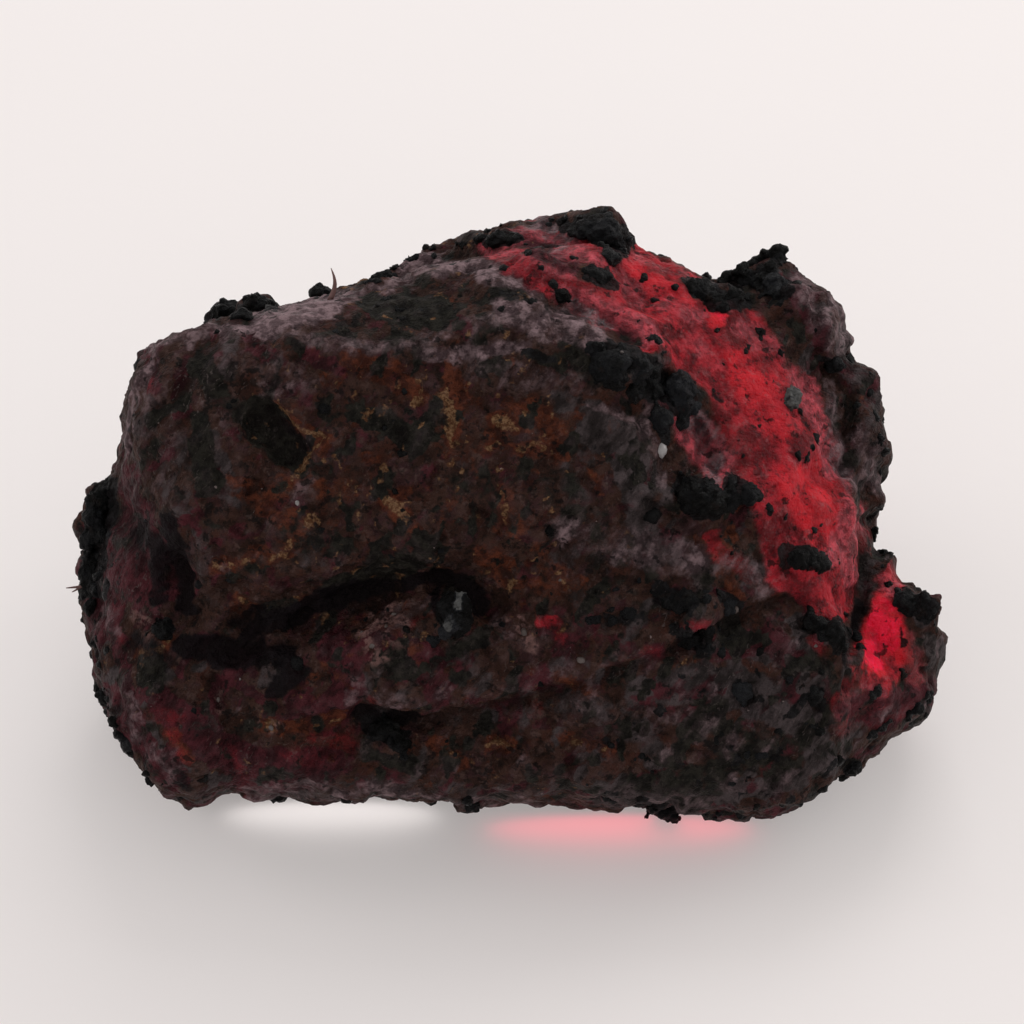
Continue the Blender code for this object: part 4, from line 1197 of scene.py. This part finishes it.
# ------------------------------------------------------------------ materials
class Graph:
    """Short names for the nodes that the materials are made of."""

    def __init__(self, name):
        self.material = bpy.data.materials.new(name)
        self.material.use_nodes = True
        self.tree = self.material.node_tree
        self.shader = self.tree.nodes["Principled BSDF"]
        self.coords = self.tree.nodes.new("ShaderNodeTexCoord").outputs["Object"]

    def put(self, socket, value):
        if isinstance(value, bpy.types.NodeSocket):
            self.tree.links.new(value, socket)
        elif isinstance(value, (tuple, list)) and len(value) == 3 and socket.type == "RGBA":
            socket.default_value = (*value, 1.0)
        else:
            socket.default_value = value

    def stretched(self, scale, turn=(0, 0, 0)):
        node = self.tree.nodes.new("ShaderNodeMapping")
        node.inputs["Rotation"].default_value = turn
        node.inputs["Scale"].default_value = scale
        self.put(node.inputs["Vector"], self.coords)
        return node.outputs["Vector"]

    def silky(self, along, across, deep):
        """Object coordinates turned to the silk and stretched along it."""
        turned = self.tree.nodes.new("ShaderNodeCombineXYZ")
        ways = (SILK_ALONG @ AXES, SILK_ACROSS @ AXES, AXES[2])
        for socket, way, scale in zip(turned.inputs, ways, (along, across, deep)):
            node = self.tree.nodes.new("ShaderNodeVectorMath")
            node.operation = "DOT_PRODUCT"
            self.put(node.inputs[0], self.coords)
            node.inputs[1].default_value = tuple(float(v) * scale for v in way)
            self.put(socket, node.outputs["Value"])
        return turned.outputs["Vector"]

    def noise(self, scale, detail=3.0, rough=0.55, shift=0.0, distortion=0.0, vector=None):
        # the shift moves the pattern by whole turns of it, so that no two look alike
        moved = self.tree.nodes.new("ShaderNodeVectorMath")
        moved.operation = "ADD"
        self.put(moved.inputs[0], vector or self.coords)
        moved.inputs[1].default_value = tuple(v * shift / scale for v in (7.31, -11.47, 5.83))
        node = self.tree.nodes.new("ShaderNodeTexNoise")
        self.put(node.inputs["Vector"], moved.outputs[0])
        node.inputs["Scale"].default_value = scale
        node.inputs["Detail"].default_value = detail
        node.inputs["Roughness"].default_value = rough
        node.inputs["Distortion"].default_value = distortion
        return node.outputs["Fac"]

    def voronoi(self, scale, feature="F1", output="Distance", random=1.0, vector=None):
        node = self.tree.nodes.new("ShaderNodeTexVoronoi")
        node.feature = feature
        self.put(node.inputs["Vector"], vector or self.coords)
        node.inputs["Scale"].default_value = scale
        node.inputs["Randomness"].default_value = random
        return node.outputs[output]

    def attr(self, name):
        node = self.tree.nodes.new("ShaderNodeAttribute")
        node.attribute_name = name
        return node.outputs["Fac"]

    def math(self, operation, a, b=0.0, c=0.0, clamp=False):
        node = self.tree.nodes.new("ShaderNodeMath")
        node.operation = operation
        node.use_clamp = clamp
        for socket, value in zip(node.inputs, (a, b, c)):
            self.put(socket, value)
        return node.outputs[0]

    def span(self, value, low, high, to_low=0.0, to_high=1.0):
        node = self.tree.nodes.new("ShaderNodeMapRange")
        node.interpolation_type = "SMOOTHSTEP"
        self.put(node.inputs["Value"], value)
        node.inputs["From Min"].default_value = low
        node.inputs["From Max"].default_value = high
        node.inputs["To Min"].default_value = to_low
        node.inputs["To Max"].default_value = to_high
        return node.outputs["Result"]

    def mix(self, share, a, b, blend="MIX"):
        node = self.tree.nodes.new("ShaderNodeMix")
        node.data_type = "RGBA"
        node.blend_type = blend
        node.clamp_factor = True
        self.put(node.inputs["Factor"], share)
        sockets = [s for s in node.inputs if s.type == "RGBA"]
        self.put(sockets[0], a)
        self.put(sockets[1], b)
        return [s for s in node.outputs if s.type == "RGBA"][0]

    def bump(self, height, distance, strength=1.0, under=None):
        node = self.tree.nodes.new("ShaderNodeBump")
        node.inputs["Strength"].default_value = strength
        node.inputs["Distance"].default_value = distance
        self.put(node.inputs["Height"], height)
        if under is not None:
            self.put(node.inputs["Normal"], under)
        return node.outputs["Normal"]


def ruby_material():
    g = Graph("ruby")
    a = {name: g.attr(name) for name in (
        "red", "painted_glow", "haze", "bloom_and_highlight", "moss", "shade", "maroon", "rust", "ochre", "grey", "crust", "pale",
        "silk", "hollow_shade", "crest_highlight")}

    blotch = g.noise(1300, 4, 0.62, 2.0)
    fine = g.noise(3600, 4, 0.65, 3.0)
    tiny = g.noise(11000, 2, 0.6, 4.0)
    streaks = g.noise(1, 3, 0.66, 15.0, vector=g.silky(620, 2300, 1500))
    mixed = g.noise(1, 4, 0.66, 18.0, vector=g.silky(1100, 2100, 1600))

    def over(colour, name, shift, dark, light, scale=1700, low=0.34, high=0.66, spread=1.1, most=1.0, by=None):
        """Lays a two-tone growth over a colour, with ragged edges."""
        ragged = g.math("MULTIPLY", g.math("SUBTRACT", g.noise(scale, 3, 0.66, shift), 0.5), spread)
        share = g.span(g.math("ADD", a[name], ragged), low, high, 0.0, most)
        share = g.math("MULTIPLY", share, g.span(a[name], 0.02, 0.22))
        tone = g.mix(g.span(by or fine, 0.40, 0.62), dark, light)
        return g.mix(share, colour, tone), share

    # the dark brown skin
    colour = g.mix(g.span(blotch, 0.40, 0.60), (0.0287, 0.0126, 0.0092), (0.0483, 0.0230, 0.0172))
    colour = g.mix(g.span(mixed, 0.50, 0.62, 0.0, 0.75), colour, (0.0414, 0.0172, 0.0190))
    colour = g.mix(g.span(g.noise(1500, 3, 0.66, 19.0), 0.54, 0.64, 0.0, 0.65), colour, (0.0552, 0.0184, 0.0121))
    colour = g.mix(g.span(fine, 0.50, 0.64, 0.0, 0.80), colour, (0.0113, 0.0071, 0.0057))
    colour = g.mix(g.span(g.noise(3300, 3, 0.6, 22.0), 0.56, 0.68, 0.0, 0.55), colour, (0.0874, 0.0506, 0.0437))

    colour, _ = over(colour, "grey", 31.0, (0.0230, 0.0178, 0.0172), (0.0690, 0.0529, 0.0540), by=mixed)
    colour, _ = over(colour, "maroon", 32.0, (0.0253, 0.0063, 0.0078), (0.0759, 0.0167, 0.0218), by=mixed, spread=1.5)
    colour, _ = over(colour, "rust", 33.0, (0.0437, 0.0121, 0.0071), (0.1150, 0.0305, 0.0149), scale=2300, high=0.80,
                     spread=1.6, most=0.90)
    colour, _ = over(colour, "moss", 34.0, (0.0080, 0.0072, 0.0060), (0.0218, 0.0196, 0.0155), spread=1.4)
    colour, _ = over(colour, "ochre", 35.0, (0.0920, 0.0379, 0.0172), (0.2070, 0.1138, 0.0575), scale=4000, low=0.42,
                     high=0.90, spread=2.0, by=tiny)

    # red windows
    red = a["red"]
    window = g.math("ADD", red, g.math("MULTIPLY", g.math("SUBTRACT", g.noise(950, 4, 0.70, 24.0), 0.5), 1.25))
    window = g.span(window, 0.10, 0.78)
    window = g.math("MULTIPLY", window, g.span(red, 0.0, 0.30))
    deep = g.mix(g.span(g.noise(900, 4, 0.70, 9.0), 0.40, 0.60), (0.130, 0.0100, 0.0135), (0.440, 0.0250, 0.0370))
    # painted glow: the red painted brighter where light comes through the windows, with random mottling
    painted_light_and_tone = g.math("ADD", a["painted_glow"], g.math("MULTIPLY", g.math("SUBTRACT", g.noise(1100, 4, 0.70, 25.0), 0.5), 1.5))
    deep = g.mix(g.span(painted_light_and_tone, 0.20, 0.95), deep, (0.610, 0.0230, 0.0350))
    mist = g.math("ADD", a["haze"], g.math("MULTIPLY", g.math("SUBTRACT", streaks, 0.5), 1.1))
    mist = g.span(mist, 0.22, 0.95, 0.0, 0.85)
    deep = g.mix(mist, deep, g.mix(g.span(fine, 0.42, 0.62), (0.260, 0.0500, 0.0630), (0.660, 0.1050, 0.1330)))
    deep = g.mix(g.span(g.noise(2300, 4, 0.68, 10.0), 0.52, 0.67, 0.0, 0.75), deep, (0.060, 0.0115, 0.0140))
    deep = g.mix(g.span(g.noise(2900, 3, 0.65, 11.0), 0.56, 0.72, 0.0, 0.50), deep, (0.36, 0.110, 0.120))
    # painted glow: the knob's window painted bright red, as if lit from behind
    painted_glow_share = g.math("ADD", a["painted_glow"], g.math("MULTIPLY", g.math("SUBTRACT", g.noise(1900, 3, 0.70, 26.0), 0.5), 1.3))
    deep = g.mix(g.span(painted_glow_share, 0.95, 1.35), deep, (0.98, 0.0200, 0.0640))
    strength = g.span(red, 0.15, 0.95, 0.40, 1.0)
    colour = g.mix(g.math("MULTIPLY", window, strength), colour, deep)

    # mauve bloom, partly a painted highlight on the ridges and lobe edges
    bloom_and_highlight_share = g.math("ADD", a["bloom_and_highlight"], g.math("MULTIPLY", g.math("SUBTRACT", streaks, 0.5), 1.5))
    bloom_and_highlight_share = g.span(bloom_and_highlight_share, 0.20, 1.10)
    bloom_and_highlight_share = g.math("MULTIPLY", bloom_and_highlight_share, g.span(a["bloom_and_highlight"], 0.02, 0.25))
    # painted highlight: crests lightened towards the mauve
    bloom_and_highlight_share = g.math("ADD", bloom_and_highlight_share, g.math("MULTIPLY", a["crest_highlight"], 0.10), clamp=True)
    # paler mauve in random patches, and a painted highlight where the strokes are strongest, on the top ridge
    painted_light_and_tone = g.math("ADD", g.span(g.noise(2600, 3, 0.65, 23.0), 0.42, 0.62), g.span(a["bloom_and_highlight"], 1.05, 1.45, 0.0, 0.45), clamp=True)
    mauve = g.mix(painted_light_and_tone, (0.0638, 0.0394, 0.0429), (0.2552, 0.1717, 0.1821))
    colour = g.mix(bloom_and_highlight_share, colour, mauve)

    # pale granules
    beads = g.math("MULTIPLY", a["pale"], g.span(g.noise(3700, 2, 0.6, 27.0), 0.46, 0.62))
    colour = g.mix(g.math("MULTIPLY", beads, 0.85), colour, (0.205, 0.110, 0.100))

    # shade and black crust
    dark = g.math("ADD", a["shade"], g.math("MULTIPLY", g.math("SUBTRACT", blotch, 0.5), 0.8))
    dark = g.math("MULTIPLY", g.span(dark, 0.20, 0.75, 0.0, 0.95), g.span(a["shade"], 0.02, 0.25))
    colour = g.mix(dark, colour, g.mix(g.span(fine, 0.40, 0.65), (0.0040, 0.0026, 0.0033), (0.0090, 0.0062, 0.0076)))
    colour, black = over(colour, "crust", 12.0, (0.0050, 0.0046, 0.0048), (0.0150, 0.0140, 0.0150), scale=2100,
                         low=0.40, high=0.62, spread=1.3, most=0.96)
    # small dark flecks everywhere; hollows darkened, a painted shade
    fleck = g.span(g.noise(2500, 3, 0.6, 13.0), 0.60, 0.67)
    colour = g.mix(g.math("MULTIPLY", fleck, 0.80), colour, (0.0075, 0.0058, 0.0056))
    colour = g.mix(g.math("MULTIPLY", a["hollow_shade"], 0.55), colour, (0.0070, 0.0044, 0.0044))

    # hair-fine pale scratches, and painted glints: tiny highlights painted into the colour
    hair = g.math("ABSOLUTE", g.math("SUBTRACT", g.noise(1, 2, 0.5, 16.0, vector=g.silky(700, 1900, 1300)), 0.5))
    hair = g.math("MULTIPLY", g.span(hair, 0.0, 0.014, 1.0, 0.0), g.span(tiny, 0.48, 0.60))
    hair = g.math("MULTIPLY", hair, g.math("ADD", g.math("MULTIPLY", a["silk"], 0.26), 0.16))
    hair = g.math("MULTIPLY", hair, g.math("SUBTRACT", 1.0, dark))
    colour = g.mix(hair, colour, (0.140, 0.110, 0.104))
    painted_glint = g.span(g.noise(5200, 1, 0.4, 14.0), 0.800, 0.84)
    colour = g.mix(g.math("MULTIPLY", painted_glint, 0.55), colour, (0.30, 0.23, 0.22))
    g.put(g.shader.inputs["Base Color"], colour)

    rough = g.span(blotch, 0.3, 0.7, 0.62, 0.42)
    rough = g.math("SUBTRACT", rough, g.math("MULTIPLY", window, 0.08))
    rough = g.math("SUBTRACT", rough, g.math("MULTIPLY", painted_glint, 0.2))
    g.put(g.shader.inputs["Roughness"], rough)
    g.shader.inputs["IOR"].default_value = 1.50
    g.shader.inputs["Specular IOR Level"].default_value = 0.05

    # light that comes through the windows
    clear = g.math("MULTIPLY", g.math("MULTIPLY", window, strength), g.math("SUBTRACT", 1.0, black), clamp=True)
    g.put(g.shader.inputs["Subsurface Weight"], g.math("MULTIPLY", clear, 0.50))
    g.shader.inputs["Subsurface Radius"].default_value = (1.0, 0.10, 0.10)
    g.shader.inputs["Subsurface Scale"].default_value = 0.0007

    height = g.math("ADD", fine, g.math("MULTIPLY", streaks, 0.55))
    g.put(g.shader.inputs["Normal"], g.bump(height, 0.00032, 0.95))
    return g.material


def black_material():
    g = Graph("black_mineral")
    tone = g.attr("tone")
    fine = g.noise(3800, 4, 0.65, 1.0)
    colour = g.mix(tone, (0.0034, 0.0031, 0.0029), (0.0185, 0.0190, 0.0220))
    # tones above 1 run to pale grey: a painted highlight
    colour = g.mix(g.span(tone, 1.0, 1.3), colour, (0.125, 0.124, 0.120))
    colour = g.mix(g.span(fine, 0.52, 0.68, 0.0, 0.50), colour, (0.0150, 0.0142, 0.0135))
    colour = g.mix(g.span(g.noise(1500, 3, 0.6, 2.0), 0.58, 0.70, 0.0, 0.55), colour, (0.0150, 0.0088, 0.0070))
    colour = g.mix(g.span(g.noise(2600, 3, 0.6, 7.0), 0.56, 0.68, 0.0, 0.7), colour, (0.0024, 0.0022, 0.0022))
    g.put(g.shader.inputs["Base Color"], colour)
    g.put(g.shader.inputs["Roughness"], g.span(g.noise(2200, 2, 0.5, 3.0), 0.35, 0.65, 0.30, 0.60))
    g.shader.inputs["IOR"].default_value = 1.55
    g.shader.inputs["Specular IOR Level"].default_value = 0.08
    height = g.math("ADD", g.math("MULTIPLY", g.noise(4600, 4, 0.70, 4.0), 0.9), g.noise(1900, 2, 0.5, 5.0))
    g.put(g.shader.inputs["Normal"], g.bump(height, 0.00032, 1.0))
    return g.material


def pale_material():
    g = Graph("pale_mineral")
    tone = g.attr("tone")
    fine = g.noise(3000, 3, 0.6, 1.0)
    colour = g.mix(tone, (0.070, 0.048, 0.042), (0.60, 0.58, 0.58))
    colour = g.mix(g.span(fine, 0.45, 0.65, 0.0, 0.6), colour, (0.060, 0.048, 0.042))
    g.put(g.shader.inputs["Base Color"], colour)
    g.put(g.shader.inputs["Roughness"], g.span(fine, 0.3, 0.7, 0.25, 0.50))
    g.shader.inputs["IOR"].default_value = 1.55
    g.shader.inputs["Specular IOR Level"].default_value = 0.25
    g.put(g.shader.inputs["Normal"], g.bump(g.noise(4800, 2, 0.5, 2.0), 0.00006, 0.6))
    return g.material


def lint_material():
    g = Graph("lint")
    colour = g.mix(g.noise(2600, 2, 0.5, 1.0), (0.10, 0.045, 0.040), (0.22, 0.12, 0.11))
    g.put(g.shader.inputs["Base Color"], colour)
    g.shader.inputs["Roughness"].default_value = 0.8
    g.put(g.shader.inputs["Normal"], g.bump(g.noise(9000, 2, 0.5, 2.0), 0.00003, 0.5))
    return g.material


# ------------------------------------------------------------------ build
skin = start_skin()
co, n, zone, facing = sculpt(skin)
ruby = ruby_material()
skin.data.materials.clear()
skin.data.materials.append(ruby)
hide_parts("ruby_crystal")
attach(skin, "root")

tri = skin.data
tri.calc_loop_triangles()
corner = np.empty(len(tri.loop_triangles) * 3, np.int32)
tri.loop_triangles.foreach_get("vertices", corner)
tree = BVHTree.FromPolygons([Vector(p) for p in co], corner.reshape(-1, 3).tolist())

black = black_material()
coarse = Heap(tree)
add_clusters(tree, coarse)
add_hidden(co, n, zone, facing, coarse)
grains = coarse.make("black_grains", black, grown=0.065)
small = Heap()
add_scatter(co, n, zone, facing, small)
scatter = small.make("black_specks", black)
for obj in (grains, scatter):
    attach(obj, "root")

# pale glassy grains, on the skin or on the black grains
grains.data.calc_loop_triangles()
more = np.empty(len(grains.data.loop_triangles) * 3, np.int32)
grains.data.loop_triangles.foreach_get("vertices", more)
outer = BVHTree.FromPolygons(
    [Vector(p) for p in np.vstack([co, coordinates(grains.data) / MM])],
    np.vstack([corner.reshape(-1, 3), more.reshape(-1, 3) + len(co)]).tolist())
rng = np.random.default_rng(5)
pale_heap = Heap()
for x, y, long, wide, tone in [
    (662, 450, 6.8, 8.8, 0.52), (297, 503, 2.4, 3.0, 0.40),
    (581, 660, 5.2, 4.0, 0.06), (524, 632, 3.6, 5.0, 0.03), (736, 610, 3.2, 3.8, 0.02),
    (240, 679, 1.5, 2.0, 0.20), (218, 700, 2.0, 4.0, 0.05), (271, 728, 3.0, 4.0, 0.12),
    (622, 352, 1.8, 1.8, 0.1), (816, 646, 2.2, 2.0, 0.05),
    (372, 646, 2.6, 2.4, 0.10), (394, 614, 2.8, 2.2, 0.08), (386, 626, 2.2, 2.6, 0.02), (362, 632, 2.4, 2.0, 0.05),
    (560, 580, 2.6, 1.6, 0.05),
]:
    place, normal = drop(outer, x, y)
    verts, faces = grain_shape(rng, 2, cut=9, stretch=0.2, rugged=0.24)
    deep = min(long, wide)
    across = AXES[0] - normal * (AXES[0] @ normal)
    across /= np.linalg.norm(across)
    other = np.cross(normal, across)
    body = (verts[:, :1] * across * long + verts[:, 1:2] * other * wide + verts[:, 2:] * normal * deep) * UNIT
    pale_heap.add(body + place - normal * deep * UNIT * 0.35, faces, tone)
pale_grains = pale_heap.make("pale_grains", pale_material())
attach(pale_grains, "root")


def thorn(start, tip, bend, wide, rings=9, sides=6):
    """A tapering, slightly bent fibre from start to tip."""
    start, tip, bend = (np.array(v, float) for v in (start, tip, bend))
    axis = (tip - start) / np.linalg.norm(tip - start)
    side = np.cross(axis, [0.3, 0.2, 0.9])
    side /= np.linalg.norm(side)
    other = np.cross(axis, side)
    verts, faces = [], []
    for k in range(rings):
        t = k / (rings - 1)
        centre = start + (tip - start) * t + bend * math.sin(math.pi * t)
        r = wide * (1 - t) ** 0.8 + 0.012
        for s in range(sides):
            a = 2 * math.pi * s / sides
            verts.append(centre + (side * math.cos(a) + other * math.sin(a)) * r)
    for k in range(rings - 1):
        for s in range(sides):
            a, b = k * sides + s, k * sides + (s + 1) % sides
            faces.append((a, b, b + sides, a + sides))
    faces.append(tuple(range(sides))[::-1])
    faces.append(tuple((rings - 1) * sides + s for s in range(sides)))
    return np.array(verts), faces


def picture_point(x, y, d):
    near = (REACH - d) / REACH
    return HEART + AXES[0] * ((x - 512) * UNIT * near) + AXES[1] * ((512 - y) * UNIT * near) + AXES[2] * d


lint_verts, lint_faces = [], []
base, _ = drop(tree, 330, 300)
depth = to_local(base[None])[0, 2]
edge, _ = drop(tree, 92, 586)
edge_depth = to_local(edge[None])[0, 2]
for path in [((330, 300), (331, 268), 0.12, 0.085, depth),
             ((88, 586), (66, 588), 0.02, 0.045, edge_depth), ((80, 587), (72, 592), 0.02, 0.03, edge_depth)]:
    (x0, y0), (x1, y1), bend, wide, at = path
    v, f = thorn(picture_point(x0, y0, at - 0.1), picture_point(x1, y1, at), AXES[0] * bend, wide)
    count = sum(len(a) for a in lint_verts)
    lint_verts.append(v)
    lint_faces += [tuple(i + count for i in face) for face in f]
lint = new_object("lint", (np.vstack(lint_verts) * MM).tolist(), lint_faces)
lint.data.materials.append(lint_material())
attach(lint, "root")


# ------------------------------------------------------------------ stage
def area(name, place, aim, size, power, colour=(1, 1, 1), size_y=None):
    light = bpy.data.lights.new(name, "AREA")
    light.energy = power
    light.color = colour
    light.size = size
    if size_y:
        light.shape = "RECTANGLE"
        light.size_y = size_y
    obj = bpy.data.objects.new(name, light)
    bpy.context.scene.collection.objects.link(obj)
    obj.location = place
    way = Vector(aim) - Vector(place)
    obj.rotation_mode = "QUATERNION"
    obj.rotation_quaternion = way.to_track_quat("-Z", "Y")
    return obj


def floor():
    obj = new_object("floor", [(-1, -1, 0), (1, -1, 0), (1, 1, 0), (-1, 1, 0)], [(0, 1, 2, 3)], False)
    g = Graph("paper")
    colour = g.mix(g.noise(60, 3, 0.5, 1.0), (0.645, 0.602, 0.590), (0.665, 0.624, 0.614))
    g.put(g.shader.inputs["Base Color"], colour)
    g.shader.inputs["Emission Color"].default_value = (1.0, 0.955, 0.94, 1.0)
    g.shader.inputs["Emission Strength"].default_value = 0.29
    g.shader.inputs["Roughness"].default_value = 0.9
    g.shader.inputs["Specular IOR Level"].default_value = 0.1
    g.put(g.shader.inputs["Normal"], g.bump(g.noise(1800, 2, 0.5, 2.0), 0.00002, 0.3))
    obj.data.materials.append(g.material)
    return obj


floor()
heart = Vector(HEART * MM)
area("back_softbox", (0.03, 0.15, 0.17), heart, 0.12, 0.13)
area("right_softbox", (0.13, 0.08, 0.05), heart, 0.06, 0.06, (1.0, 0.99, 0.97))
area("left_softbox", (-0.16, 0.04, 0.10), heart, 0.08, 0.04)
# what comes through the stone and under its edge on to the floor: two small leaning
# panels, edge on to the camera, that shine down and away from the stone
for name, x, y, wide, power, colour in (
    ("through_red", 0.0030, -0.00545, 0.0074, 2.0e-5, (1.0, 0.02, 0.09)),
    ("under_edge", -0.0050, -0.00495, 0.0060, 1.5e-5, (1.0, 0.99, 0.98)),
):
    lamp = area(name, (x, y - 0.00046, 0.00046), (x, y - 0.00106, -0.00054), wide, power, colour, size_y=0.0011)
    lamp.data.shape = "ELLIPSE"
    lamp.visible_camera = False

world = bpy.data.worlds.new("studio")
bpy.context.scene.world = world
world.use_nodes = True
world.node_tree.nodes["Background"].inputs["Color"].default_value = (1.0, 0.985, 0.98, 1.0)
world.node_tree.nodes["Background"].inputs["Strength"].default_value = 0.60

camera_data = bpy.data.cameras.new("camera")
camera = bpy.data.objects.new("camera", camera_data)
bpy.context.scene.collection.objects.link(camera)
camera.location = Vector(EYE * MM)
camera.rotation_mode = "QUATERNION"
camera.rotation_quaternion = Vector(-AXES[2]).to_track_quat("-Z", "Y")
camera_data.sensor_width = 36.0
camera_data.lens = 36.0 * REACH / (1024 * UNIT)
camera_data.clip_start = 0.005
camera_data.clip_end = 10.0
bpy.context.scene.camera = camera
bpy.context.scene.view_settings.view_transform = "Standard"
